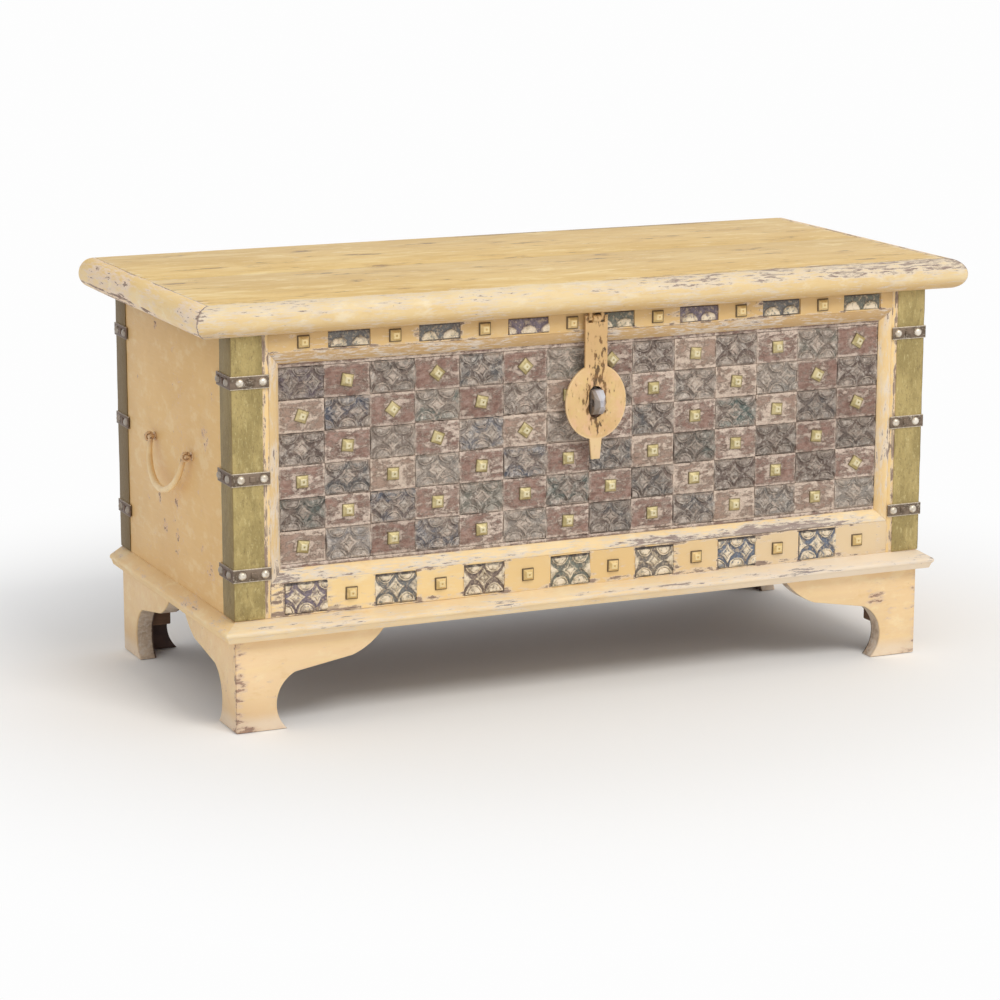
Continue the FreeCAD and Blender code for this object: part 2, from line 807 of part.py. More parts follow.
def handles():
    x = -body_half - handle_standoff
    hole = bail_pin_radius + running_clearance
    across = vec(0, 1, 0)
    eyes = []
    turns = [2 * math.pi * (k + 0.5) / eye_facets for k in range(eye_facets)]
    radius = hole + eye_ring_wall
    for y in (handle_mid - handle_eye_half, handle_mid + handle_eye_half):
        start = vec(x, y - eye_ring_width / 2, handle_height)
        rim = [start + vec(radius * math.cos(t), 0, radius * math.sin(t)) for t in turns]
        ring = prism(rim, across * eye_ring_width)
        eye = ring.fuse(eye_stem_box(y, 0)).cut(Part.makeCylinder(hole, eye_ring_width, start, across))
        eyes.append(eye.removeSplitter())
    parts["handle_eyes"] = group(eyes + [other_side(eye) for eye in eyes])

    # The bail is a forged bar bent round below its pivot, turned out at both ends into the eyes.
    # It rests leaning outward, away from the board
    top = handle_height + bail_wire
    first_y = handle_mid - bail_half
    last_y = handle_mid + bail_half
    bends = [math.pi * (k + 0.5) / bail_bends for k in range(bail_bends)]
    grow = 1 / math.cos(math.pi / bail_bends / 2)
    curve = [
        vec(x, handle_mid - bail_half * grow * math.cos(t), handle_height - bail_drop * grow * math.sin(t))
        for t in bends
    ]
    sides = [2 * math.pi * (k + 0.5) / bail_facets for k in range(bail_facets)]
    outline = [vec(x + bail_wire * math.cos(t), first_y + bail_wire * math.sin(t), top) for t in sides]
    path = [vec(x, first_y, top)] + curve + [vec(x, last_y, top)]
    sweep = Part.BRepOffsetAPI.MakePipeShell(Part.makePolygon(path))
    sweep.setTransitionMode(1)
    sweep.add(Part.makePolygon(outline + outline[:1]))
    sweep.build()
    sweep.makeSolid()
    bail = sweep.shape()
    for y, side in ((first_y, -1), (last_y, 1)):
        start = vec(x, y, handle_height)
        bail = bail.fuse(Part.makeCylinder(bail_pin_radius, bail_pin_length, start, across * side))
    bail = bail.removeSplitter()
    bail.rotate(vec(x, handle_mid, handle_height), across, bail_lean)
    parts["handle_bail_left"] = bail
    parts["handle_bail_right"] = other_side(bail)


feet()
base_frame()
body_boards()
framed_front()
panel_beads()
corner_metal()
lid()
hinges()
hasp_eye()
hasp()
lock_staple()
handles()

os.makedirs("parts", exist_ok=True)
for name, shape in parts.items():
    shape.exportStep("parts/" + name + ".step")
print(len(parts), "pieces written")
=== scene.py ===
import math
import random
import bpy
import bmesh
from mathutils import Matrix, Vector, noise


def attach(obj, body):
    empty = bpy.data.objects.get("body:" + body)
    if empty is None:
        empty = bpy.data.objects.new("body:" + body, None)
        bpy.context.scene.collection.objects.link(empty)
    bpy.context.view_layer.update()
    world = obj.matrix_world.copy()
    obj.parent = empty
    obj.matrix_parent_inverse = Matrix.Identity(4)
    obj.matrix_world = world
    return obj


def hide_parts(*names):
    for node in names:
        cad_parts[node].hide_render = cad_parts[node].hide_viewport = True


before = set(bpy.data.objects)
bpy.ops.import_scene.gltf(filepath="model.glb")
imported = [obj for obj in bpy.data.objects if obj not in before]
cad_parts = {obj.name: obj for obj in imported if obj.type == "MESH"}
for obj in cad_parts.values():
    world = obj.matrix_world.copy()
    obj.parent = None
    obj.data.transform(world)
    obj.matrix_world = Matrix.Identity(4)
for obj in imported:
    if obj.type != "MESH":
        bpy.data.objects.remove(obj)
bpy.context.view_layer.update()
noise.seed_set(7)  # unevenness comes out alike on each run
print("frame loaded:", len(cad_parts), "nodes")


view = {
    "eye": (-1.4829, -3.22955, 0.95296),
    "target": (-0.18306, -0.33999, 0.26326),
    "lens": 116.4,
    "shift": (0.00328, -0.00294),
    "roll": 0.1,
}
light = {
    "world": 0.68,
    "keyPlace": (0.5, -3.1, 3.7),
    "keySize": 1.7,
    "keyPower": 84,
    "keyTint": (1.0, 0.985, 0.95),
    "keyAim": (0, 0, 0.25),
    "worldSeen": 0.98,  # backdrop as the camera sees it
    "floorTone": 0.95, "floorSeen": 0.985, "floorSize": 40, "floorLow": -0.0005,
    "fadeFrom": 0.42, "fadeTo": 0.98,  # the floor turns white between these distances
}


def setView():
    camData = bpy.data.cameras.new("camera")
    cam = bpy.data.objects.new("camera", camData)
    bpy.context.scene.collection.objects.link(cam)
    camData.sensor_width = 36
    camData.lens = view["lens"]
    camData.shift_x, camData.shift_y = view["shift"]
    eye = Vector(view["eye"])
    aim = (Vector(view["target"]) - eye).to_track_quat("-Z", "Y")
    cam.rotation_mode = "QUATERNION"
    cam.location = eye
    cam.rotation_quaternion = aim @ Matrix.Rotation(math.radians(view["roll"]), 3, "Z").to_quaternion()
    camData.clip_end = 50
    bpy.context.scene.camera = cam
    bpy.context.scene.view_settings.view_transform = "Standard"


class Value:
    # one output of a node; arithmetic on it adds Math nodes
    def __init__(self, nodes, socket):
        self.nodes = nodes
        self.socket = socket

    def __add__(self, other):
        return self.nodes.math("ADD", self, other)

    def __sub__(self, other):
        return self.nodes.math("SUBTRACT", self, other)

    def __rsub__(self, other):
        return self.nodes.math("SUBTRACT", other, self)

    def __mul__(self, other):
        return self.nodes.math("MULTIPLY", self, other)

    def __truediv__(self, other):
        return self.nodes.math("DIVIDE", self, other)

    def __abs__(self):
        return self.nodes.math("ABSOLUTE", self)

    __radd__ = __add__
    __rmul__ = __mul__

    def floor(self):
        return self.nodes.math("FLOOR", self)

    def fract(self):
        return self.nodes.math("FRACT", self)

    def most(self, other):
        return self.nodes.math("MAXIMUM", self, other)

    def least(self, other):
        return self.nodes.math("MINIMUM", self, other)

    def other(self, name):
        return Value(self.nodes, self.socket.node.outputs[name])


class Nodes:
    def __init__(self, tree):
        self.tree = tree

    def node(self, kind, settings=None, sockets=None, out=0):
        made = self.tree.nodes.new("ShaderNode" + kind)
        for key, setting in (settings or {}).items():
            setattr(made, key, setting)
        for key, value in (sockets or {}).items():
            self.feed(made.inputs[key], value)
        return Value(self, made.outputs[out])

    def feed(self, socket, value):
        if isinstance(value, Value):
            self.tree.links.new(value.socket, socket)
        elif socket.type == "RGBA":
            socket.default_value = (*value, 1)
        else:
            socket.default_value = value

    def math(self, operation, *values):
        return self.node("Math", {"operation": operation}, dict(enumerate(values)))


def tone(colour):
    # a colour as the eye names it, 0 to 255, made linear
    shares = [c / 255 for c in colour]
    return tuple(c / 12.92 if c <= 0.04045 else ((c + 0.055) / 1.055) ** 2.4 for c in shares)


class Finish(Nodes):
    def __init__(self, name):
        self.material = bpy.data.materials.new(name)
        self.material.use_nodes = True
        super().__init__(self.material.node_tree)
        self.shader = self.tree.nodes["Principled BSDF"]
        self.place = self.node("TexCoord", out="Object")
        self.x = self.node("SeparateXYZ", {}, {"Vector": self.place}, "X")
        self.y = self.x.other("Y")
        self.z = self.x.other("Z")

    def noise(self, scale, size=1.0, detail=4.0, rough=0.55, shift=(0, 0, 0)):
        # scale for all axes or for each, in features per metre
        scale = (scale,) * 3 if isinstance(scale, int) else scale
        placed = self.node("Mapping", {}, {"Vector": self.place, "Location": shift, "Scale": scale})
        return self.node("TexNoise", {}, {"Vector": placed, "Scale": size, "Detail": detail, "Roughness": rough})

    def grain(self, axis, along, across, **more):
        scale = [across, across, across]
        scale["XYZ".index(axis)] = along
        return self.noise(scale, **more)

    def step(self, value, low, high):
        spans = {"Value": value, "From Min": low, "From Max": high}
        return self.node("MapRange", {"interpolation_type": "SMOOTHSTEP"}, spans)

    def band(self, value, middle, half, soft):
        return 1 - self.step(abs(value - middle), half, half + soft)

    def mix(self, first, second, mask):
        first, second = (c if isinstance(c, Value) else tone(c) for c in (first, second))
        return self.node("Mix", {"data_type": "RGBA"}, {0: mask, 6: first, 7: second}, 2)

    def lay(self, colour, mask):
        # one more layer over the finish's colour
        self.colour = self.mix(self.colour, colour, mask)

    def wash(self, colour, value, low, high, amount):
        # a layer where a value has risen from low to high
        self.lay(colour, self.step(value, low, high) * amount)

    def set(self, **sockets):
        for key, value in sockets.items():
            self.feed(self.shader.inputs[key.replace("_", " ")], value)

    def bump(self, height, strength, distance):
        normal = self.node("Bump", {}, {"Height": height, "Strength": strength, "Distance": distance})
        self.feed(self.shader.inputs["Normal"], normal)


front = {  # in metres
    "bodyHalf": 0.407, "bodyFront": -0.18265, "bodyBack": 0.19535, "bodyLow": 0.120, "lidLow": 0.417,
    "lidHalf": 0.45, "lidFront": -0.20465, "footThick": 0.02,
    "panelFace": -0.17465, "panelBack": -0.16265, "openHalf": 0.367, "openLow": 0.1565, "openHigh": 0.3965,
    "sightHalf": 0.354, "sightLow": 0.1695, "sightHigh": 0.3835,
    "columns": 14, "rows": 6, "margin": 0.004, "tileGapX": 0.004, "seam": 0.0008, "railMargin": 0.00175,
}
front["cellX"] = 2 * front["sightHalf"] / front["columns"]
front["cellZ"] = (front["sightHigh"] - front["sightLow"] - 2 * front["margin"]) / front["rows"]
tileWide = front["cellX"] - front["tileGapX"]
tileHigh = {
    "panel": front["cellZ"] - front["seam"],
    "topRail": front["lidLow"] - front["openHigh"] - 2 * front["railMargin"],
    "bottomRail": front["openLow"] - front["bodyLow"] - 2 * front["railMargin"],
}


def rowKind(row):
    return "topRail" if row == 0 else "bottomRail" if row == front["rows"] + 1 else "panel"


def cellMiddle(row, column):
    x = -front["sightHalf"] + (column + 0.5) * front["cellX"]
    kind = rowKind(row)
    if kind == "topRail":
        return x, (front["openHigh"] + front["lidLow"]) / 2
    if kind == "bottomRail":
        return x, (front["bodyLow"] + front["openLow"]) / 2
    return x, front["sightHigh"] - front["margin"] - (row - 0.5) * front["cellZ"]


def faceOf(row):
    return front["panelFace"] if rowKind(row) == "panel" else front["bodyFront"]


def isCarved(row, column):
    return (row + column) % 2 == 1


def wornPaint(name, look, wear=None, depth=None):
    # two close tones, brush streaks along the grain, pale rubbed places and dark chips
    f = Finish(name)
    axis = look["grain"]
    shift = look.get("shift", (0, 0, 0))
    cloud = f.noise(7, detail=3, shift=shift)
    mottle = f.grain(axis, 32, 60, detail=5, rough=0.65, shift=shift)
    streak = f.grain(axis, 6, 110, detail=5, rough=0.6, shift=shift)
    fine = f.grain(axis, 40, 380, detail=3, rough=0.6, shift=shift)
    chipGrain = f.grain(axis, look.get("chipLong", 60), look.get("chipWide", 180), detail=7, rough=0.72, shift=shift)
    fleck = f.noise(230, detail=3, rough=0.6, shift=shift)
    patch = f.noise(13, detail=2, shift=(3.1, 1.7, 0.4))
    f.colour = f.mix(look["tone"], look["second"], f.step(cloud, 0.36, 0.66))
    f.wash(look["pale"], mottle, 0.5, 0.68, look.get("mottles", 0.5))
    f.wash(look["grime"], 1 - mottle, 0.54, 0.72, look.get("grimes", 0.5))
    f.wash(look["streak"], streak, 0.48, 0.7, look.get("streaks", 0.5))
    f.wash(look["pale"], fine, 0.55, 0.8, look.get("fines", 0.3))
    for place, stainTone in look.get("stains", ()):
        f.lay(stainTone, place(f) * (0.75 + 0.5 * mottle))
    worn = chipGrain + (patch - 0.5) * look.get("patchy", 0.45)
    if wear:
        worn = worn + wear(f) * look.get("edge", 0.14)
    level = look["level"]
    rubbed = f.step(worn, level - look.get("rubWide", 0.10), level - 0.02)
    chip = f.step(worn, level, level + 0.04)
    f.lay(look["rub"], rubbed * look.get("rubs", 0.7))
    dark = f.mix(look["chip"], look["deep"], f.step(fine + (chipGrain - 0.5), 0.4, 0.7))
    f.lay(dark, chip * look.get("chips", 0.85) * (1 - 0.5 * f.step(fine, 0.5, 0.62)))
    spots = look.get("spots", 0.72)
    spot = f.step(fleck + (patch - 0.5) * 0.3, spots, spots + 0.04)
    f.lay(look["chip"], spot * 0.6)
    if depth:
        deep = depth(f) + (chipGrain - 0.5) * 0.12
        past = f.step(deep, 0.05, 0.11)  # behind the painted face
        spread = f.step(mottle, 0.4, 0.6)
        f.lay(f.mix((214, 194, 172), (184, 161, 138), spread), past)
        f.lay((222, 210, 198), f.step(fleck, 0.5, 0.6) * past * (1 - f.step(deep, 0.80, 0.90)) * 0.6)
        f.lay(f.mix((86, 64, 56), (68, 50, 44), spread), f.step(deep, 0.86, 0.94))
    f.set(Base_Color=f.colour, Roughness=0.52 + rubbed * 0.12 + chip * 0.16 - f.step(fine, 0.4, 0.8) * 0.08,
          Specular_IOR_Level=0.3)
    f.bump(streak * 0.3 + mottle * 0.4 + fine * 0.3 - rubbed * 0.3 - chip * 0.6, 0.55, 0.0007)
    return f.material


cream = {
    "grain": "X", "tone": (243, 208, 147), "second": (236, 199, 136), "streak": (246, 216, 162),
    "pale": (250, 229, 186), "grime": (228, 190, 131), "rub": (232, 210, 184), "chip": (144, 122, 112),
    "deep": (104, 85, 80), "level": 0.69,
}


def paint(**changes):
    return {**cream, **changes}


def mitre(f, half=0.0006, soft=0.0014):
    # the joint of the lid's front edge with its end edges
    return f.band(front["lidHalf"] - abs(f.x) - (f.y - front["lidFront"]), 0, half, soft)


def mitreGap(f):
    return mitre(f, 0.0003, 0.0006)


def besideTiles(f, turn):
    # along the sides of every other cell of a rail
    along = ((f.x + front["sightHalf"]) / front["cellX"] / 2).fract() - turn
    return f.band(abs(along), 0.25, 0.01, 0.07)


def wearLidEdge(f):
    upper = f.step(f.z, 0.4345, 0.4415)
    right = f.step(f.x, -0.15, 0.34)
    under = f.band(f.z, 0.4205, 0.0012, 0.002) * f.step(-1 * f.x, 0.36, 0.44)
    return upper * (0.45 + 0.75 * right) + under * 0.7 + mitre(f) * 1.2


def wearLidEnd(f):
    seam = f.band(abs(f.x), 0.4312, 0.0010, 0.003) * f.step(f.z, 0.444, 0.449)
    waver = f.z + (f.noise(9, detail=2) - 0.5) * 0.006
    crack = f.band(waver, 0.4262, 0.0006, 0.0014) * f.step(f.y, -0.10, -0.02)
    under = f.band(f.z, 0.4205, 0.002, 0.004)
    upper = f.band(f.z, 0.4425, 0.002, 0.004)
    return seam * 1.1 + crack * 1.5 + under * 0.8 + upper * 0.35 + mitre(f) * 1.6 + 0.12


# painted shade: the lower, downturned part of the lid's front edge is darker and browner
def lidFrontLowShade(f):
    return (1 - f.step(f.z, 0.4205, 0.4315)) * 0.62


# painted highlight along the upper, rounded part of the lid's front edge
def crownHighlight(f):
    return f.step(f.z, 0.4355, 0.4425) * 0.25


def stainLidEnd(f):
    return f.step(f.z, 0.4375, 0.4465) * (0.35 + 0.5 * f.step(f.y, -0.12, 0.1))


def stainFoot(f):
    return (1 - f.step(f.z, 0.0, 0.06)) * (0.65 - 0.55 * f.step(f.x, 0, 0.2))


def paleSole(f):
    return (1 - f.step(f.z, 0.007, 0.022)) * 0.6


# painted shadow: a thin dark line along the bottom of the lid's end edges
def lidEndShadowLine(f):
    return (1 - f.step(f.z, 0.4184, 0.4208)) * 0.7


# painted shadow of the lid over the top rail, deeper just below the lid
def lidShadowOnTopRail(f):
    return f.step(f.z, 0.36, 0.39) * (0.45 + 0.3 * f.step(f.z, 0.400, 0.414))


def insideEnd(f):
    return 1 - f.step(abs(f.x), 0.3880, 0.3890)


def insideFront(f):
    return f.step(f.y, -0.1630, -0.1618)


# the top bead is darker: grime, and a painted shadow of the lid
def lidShadowAndGrimeOnBead(f):
    return f.step(f.z, 0.36, 0.39) * 0.95


def stainBeadLeft(f):
    return f.step(-1 * f.x, 0.30, 0.34) * 0.45


def seamLine(f):
    near = f.step(-1 * f.y, 0.0, 0.07)
    return f.band(abs(f.x), 0.4314, 0.0007, 0.0014) * f.step(f.z, 0.444, 0.449) * near


def stainRail(f):
    return f.step(f.x, -0.25, 0.0) * 0.6


def stainRailEnd(f):
    return f.step(f.x, 0.02, 0.26) * 0.65


def stainBase(f):
    return f.step(f.x, 0.0, 0.3) * 0.75


endFlakes = (  # y, z and size of each knocked place
    (0.060, 0.393, 0.007), (0.004, 0.377, 0.007), (0.125, 0.325, 0.005), (-0.123, 0.346, 0.013),
    (-0.098, 0.298, 0.016), (0.055, 0.204, 0.009), (-0.001, 0.208, 0.010), (-0.082, 0.212, 0.010),
    (0.038, 0.176, 0.011), (-0.002, 0.172, 0.009), (-0.001, 0.154, 0.009), (-0.084, 0.176, 0.009),
    (0.095, 0.197, 0.006), (-0.075, 0.235, 0.006), (-0.107, 0.156, 0.018),
)


def wearEnd(f):
    flat = f.node("CombineXYZ", {}, {"Y": f.y, "Z": f.z})
    worn = 0
    for y, z, size in endFlakes:
        away = f.node("VectorMath", {"operation": "DISTANCE"}, {0: flat, 1: (0, y, z)}, "Value")
        worn = worn + f.step(away, size * 1.2, size * 0.3)
    return worn


def wearStile(f):
    beside = f.band(abs(f.x), 0.3722, 0.001, 0.0022)
    bead = f.band(abs(f.x), 0.3672, 0.0006, 0.0016)
    return beside * 1.0 + bead * 0.6


def wearRail(f):
    lowEdge = f.band(f.z, 0.1230, 0.0015, 0.003)
    upEdge = f.band(f.z, 0.1557, 0.0008, 0.002)
    far = 1 - f.step(f.x, -0.34, -0.30)
    return lowEdge * 0.9 + upEdge * (0.6 + 0.4 * f.step(f.x, 0.02, 0.2)) + besideTiles(f, 0.25) * 0.6 + far * 0.35


def wearTopRail(f):
    joint = f.band(f.z, 0.3974, 0.0006, 0.0016)
    return joint * 0.9 + besideTiles(f, 0.75) * 0.4


def wearBase(f):
    nose = f.band(f.z, 0.1115, 0.002, 0.003)
    joint = f.step(f.z, 0.1185, 0.1198)
    far = f.step(f.x, 0.26, 0.36)
    return nose * (0.5 + 0.5 * f.step(f.x, -0.1, 0.25)) + joint * 0.3 - far * 0.6


def wearFoot(f):
    corner = (f.step(-1 * f.x, 0.388, 0.4055) + f.step(f.x, 0.3985, 0.4055) * 0.3) * f.step(-1 * f.y, 0.1715, 0.1815)
    floor = 1 - f.step(f.z, 0.001, 0.012)
    flakes = f.band(f.x, 0.356, 0.005, 0.012) * f.band(f.z, 0.069, 0.003, 0.009) * f.step(-1 * f.y, 0.178, 0.181)
    return corner * 1.05 + floor * 0.6 + flakes * 1.2


def depthLong(f):
    # 0 on the outer face of a bracket board and 1 on its inner face
    return (f.y - front["bodyFront"]).least(front["bodyBack"] - f.y) / front["footThick"]


def depthEnd(f):
    return (front["bodyHalf"] - abs(f.x)) / front["footThick"]


def wearBead(f):
    low = 1 - f.step(f.z, 0.16, 0.171)
    return low * (0.8 + 1.3 * f.step(f.x, -0.05, 0.25) - 1.2 * f.step(f.x, 0.27, 0.34)) + 0.1


def wearBeadUp(f):
    return f.step(f.x, 0.30, 0.35) * 0.3 + 0.25


def lidTop():
    f = Finish("lidTopPaint")
    cloud = f.noise((6, 11, 6), detail=3)
    mottle = f.grain("X", 14, 42, detail=5, rough=0.62)
    streak = f.grain("X", 8, 60, detail=6, rough=0.62)
    fine = f.grain("X", 26, 200, detail=4, rough=0.6)
    dash = f.grain("X", 15, 48, detail=6, rough=0.7, shift=(0.9, 0.4, 0))
    crack = f.grain("X", 9, 170, detail=5, rough=0.62, shift=(0.3, 0.9, 0))
    fleck = f.grain("X", 70, 220, detail=4, rough=0.65)
    f.colour = f.mix((228, 193, 124), (216, 179, 108), f.step(cloud, 0.36, 0.66))
    f.wash((238, 210, 150), mottle, 0.48, 0.68, 0.6)
    f.wash((210, 171, 100), 1 - mottle, 0.52, 0.70, 0.5)
    f.wash((236, 208, 148), streak, 0.50, 0.72, 0.45)
    f.wash((206, 166, 98), 1 - streak, 0.54, 0.74, 0.35)
    f.wash((242, 220, 166), fine, 0.54, 0.76, 0.4)
    # painted shading: darker and yellower towards the right, standing in for how the sheen falls
    f.wash((214, 177, 108), f.x, -0.3, 0.15, 0.35)
    f.wash((244, 219, 163), 1 - dash, 0.55, 0.67, 0.6)
    f.wash((190, 150, 90), dash, 0.56, 0.64, 0.5)
    f.wash((136, 108, 82), dash, 0.63, 0.67, 0.75)
    hind = f.step(f.y + (dash - 0.5) * 0.03, 0.186, 0.191) * f.band(f.x, 0.18, 0.10, 0.14)
    f.lay((132, 106, 78), hind * 0.7)
    split = f.step(crack, 0.665, 0.70)
    f.lay((128, 104, 88), split * 0.7)
    f.wash((146, 120, 100), fleck, 0.69, 0.73, 0.6)
    rim = f.step(-1 * f.y, 0.165, 0.186).most(f.step(abs(f.x), 0.418, 0.432))
    wornRim = f.step(f.grain("X", 45, 170, detail=6, rough=0.7) + rim * 0.13, 0.61, 0.68)
    f.lay((238, 221, 190), wornRim * 0.65)
    under = 1 - f.step(f.z, 0.4286, 0.4294)  # the planks are bare below
    joint = f.band(f.y, -0.1842, 0.0008, 0.003) * f.band(f.x, 0.14, 0.12, 0.1)  # the plank's front joint opens here
    f.lay((128, 92, 78), joint * f.step(dash + fine, 0.92, 1.1) * 0.8)
    bare = f.step(f.grain("X", 40, 190, detail=7, rough=0.72, shift=(1.3, 0.2, 0))
                  + rim * (0.06 + 0.08 * f.step(f.x, -0.2, 0.4)), 0.67, 0.71)
    f.lay((150, 128, 118), bare * 0.8)
    f.lay(f.mix((134, 106, 84), (98, 74, 59), f.step(streak, 0.38, 0.66)), under)
    f.set(Base_Color=f.colour, Roughness=0.5 + split * 0.3 - f.step(fine, 0.4, 0.8) * 0.08, Specular_IOR_Level=0.26)
    f.bump(streak * 0.4 + mottle * 0.3 + fine * 0.4 - split * 0.8 - bare * 0.5, 0.55, 0.0007)
    return f.material


def bareWood(name, axis, early, late, fibreTone):
    f = Finish(name)
    ring = f.grain(axis, 3, 70, detail=5, rough=0.6)
    fibre = f.grain(axis, 14, 480, detail=4, rough=0.65)
    f.colour = f.mix(early, late, f.step(ring, 0.35, 0.7))
    f.lay(fibreTone, f.step(fibre, 0.5, 0.75) * 0.6)
    f.set(Base_Color=f.colour, Roughness=0.72 + fibre * 0.2, Specular_IOR_Level=0.25)
    f.bump(ring * 0.4 + fibre * 0.6, 0.6, 0.0007)
    return f.material


def cellNoise(f):
    # one steady random number for each cell of the checkerboard
    column = ((f.x + front["sightHalf"]) / front["cellX"]).floor()
    row = ((f.z - front["sightLow"] - front["margin"]) / front["cellZ"]).floor()
    spot = f.node("CombineXYZ", {}, {"X": column, "Y": row})
    return f.node("TexWhiteNoise", {"noise_dimensions": "2D"}, {"Vector": spot}, "Value")


def scuffs(f):
    # short pale dashes left by rubbing, thick in some cells and thin in others
    cell = cellNoise(f)
    cloud = f.noise(34, detail=3)
    dash = f.grain("X", 85, 190, detail=7, rough=0.74)
    speck = f.noise(430, detail=4, rough=0.75)
    seam = ((f.z - front["sightLow"] - front["margin"]) / front["cellZ"]).fract()
    nearSeam = f.step(abs(seam - 0.5), 0.38, 0.47)
    side = ((f.x + front["sightHalf"]) / front["cellX"]).fract()
    nearSide = f.step(abs(side - 0.5), 0.44, 0.495)
    away = (side - 0.5) * (side - 0.5) * 1.9 + (seam - 0.5) * (seam - 0.5) * 0.85
    halo = 1 - f.step(away, 0.02, 0.15)
    amount = (dash * 0.66 + speck * 0.34 + (cell - 0.5) * 0.05 + (cloud - 0.5) * 0.34
              + nearSeam * 0.10 + nearSide * 0.07 + halo * 0.075)
    worm = f.band(f.noise((130, 130, 210), detail=2, rough=0.5), 0.5, 0.006, 0.016) * f.step(cloud, 0.42, 0.56)
    pale = f.mix((236, 220, 202), (204, 182, 168), f.step(speck, 0.42, 0.58))
    edge = nearSeam.most(nearSide) * f.step(cloud + dash, 0.84, 1.0)
    mottle = f.noise((110, 110, 160), detail=6, rough=0.72, shift=(0.4, 0.2, 0.9))
    return amount, pale, dash, speck, cloud, worm, edge, mottle, cell


def cellTone(f, cell, dark, pale):
    # some cells are darker and some paler
    f.lay(dark, f.step(cell, 0.5, 0.0) * 0.24)
    f.lay(pale, f.step(cell, 0.5, 1.0) * 0.26)


def panelPaint():
    f = Finish("panelPaint")
    amount, pale, dash, speck, cloud, worm, edge, mottle, cell = scuffs(f)
    streak = f.grain("X", 18, 420, detail=5, rough=0.7)
    f.colour = f.mix((152, 118, 105), (136, 105, 93), f.step(cloud, 0.35, 0.65))
    f.wash((118, 95, 83), 1 - dash, 0.54, 0.7, 0.5)
    f.wash((110, 88, 77), 1 - streak, 0.53, 0.68, 0.5)
    f.wash((178, 152, 138), amount, 0.43, 0.51, 0.45)
    f.wash((200, 178, 162), streak, 0.54, 0.66, 0.4)
    f.wash((198, 172, 160), mottle, 0.45, 0.64, 0.6)
    scuff = f.step(amount + (mottle - 0.5) * 0.3, 0.49, 0.57).most(worm * 0.7).most(edge * 0.6)
    f.lay(pale, scuff * 0.85)
    f.wash((106, 80, 72), 1 - mottle, 0.52, 0.62, 0.5)
    f.wash((112, 90, 79), 1 - speck, 0.55, 0.70, 0.45)
    # painted shade: the sunk parts of the panel, behind the face, are darker
    deep = f.step(f.y, front["panelFace"] + 0.0004, front["panelFace"] + 0.0014)
    f.lay((118, 102, 92), deep * 0.4)
    cellTone(f, cell, (106, 78, 66), (206, 184, 160))
    f.set(Base_Color=f.colour, Roughness=0.58 + scuff * 0.2, Specular_IOR_Level=0.3)
    f.bump(dash * 0.7 + speck * 0.35 + streak * 0.4 + scuff * 0.5, 1.0, 0.0013)
    return f.material


def carvedPaint():
    f = Finish("carvedPaint")
    dye = f.node("Attribute", {"attribute_name": "dye"}, out="Color")
    amount, pale, dash, speck, cloud, worm, edge, mottle, cell = scuffs(f)
    blot = f.noise(85, detail=4, rough=0.65)
    stain = f.noise(44, detail=3, shift=(0.6, 0.1, 0.3))
    chisel = f.noise((250, 250, 210), detail=5, rough=0.75)
    # the cut-down parts take the groove colour: the dye and dirt in the hollows, and a painted shade that darkens them
    cutDepth = f.y + (speck - 0.5) * 0.0012 + (chisel - 0.5) * 0.0026
    low = f.step(cutDepth, front["panelFace"] - 0.0006, front["panelFace"] + 0.0012)
    ridge = f.mix((212, 197, 183), (174, 157, 146), f.step(blot, 0.40, 0.60))
    ridge = f.mix(ridge, f.mix(dye, (200, 190, 178), 0.3), f.step(stain, 0.42, 0.58) * 0.7)
    groove = f.mix((128, 111, 101), f.mix(dye, (92, 88, 86), 0.2), 0.2 + f.step(stain, 0.40, 0.6) * 0.6)
    groove = f.mix(groove, (150, 126, 114), f.step(cloud, 0.48, 0.62) * 0.6)
    f.colour = f.mix(ridge, groove, low * (0.92 - 0.5 * edge))
    f.wash((208, 193, 180), mottle, 0.49, 0.63, 0.5)
    arris = f.band(f.y + (blot - 0.5) * 0.0012, front["panelFace"] + 0.0001, 0.0001, 0.0004) * f.step(cloud, 0.38, 0.5)
    f.lay((206, 194, 180), arris * 0.5)
    f.lay((232, 221, 209), f.step(chisel, 0.53, 0.60) * (0.8 - 0.2 * low))
    f.wash((96, 84, 78), 1 - chisel, 0.53, 0.61, 0.58)
    scuff = f.step(amount - low * 0.06 + (mottle - 0.5) * 0.2, 0.50, 0.58).most(worm * 0.45).most(edge * 0.55)
    f.lay(pale, scuff * 0.72)
    f.wash((112, 99, 91), 1 - speck, 0.54, 0.70, 0.35)
    cellTone(f, cell, (112, 96, 86), (240, 224, 206))
    f.set(Base_Color=f.colour, Roughness=0.6 + speck * 0.2, Specular_IOR_Level=0.3)
    f.bump(chisel * 1.2 + speck * 0.4 + dash * 0.3 + scuff * 0.3, 1.0, 0.0024)
    return f.material


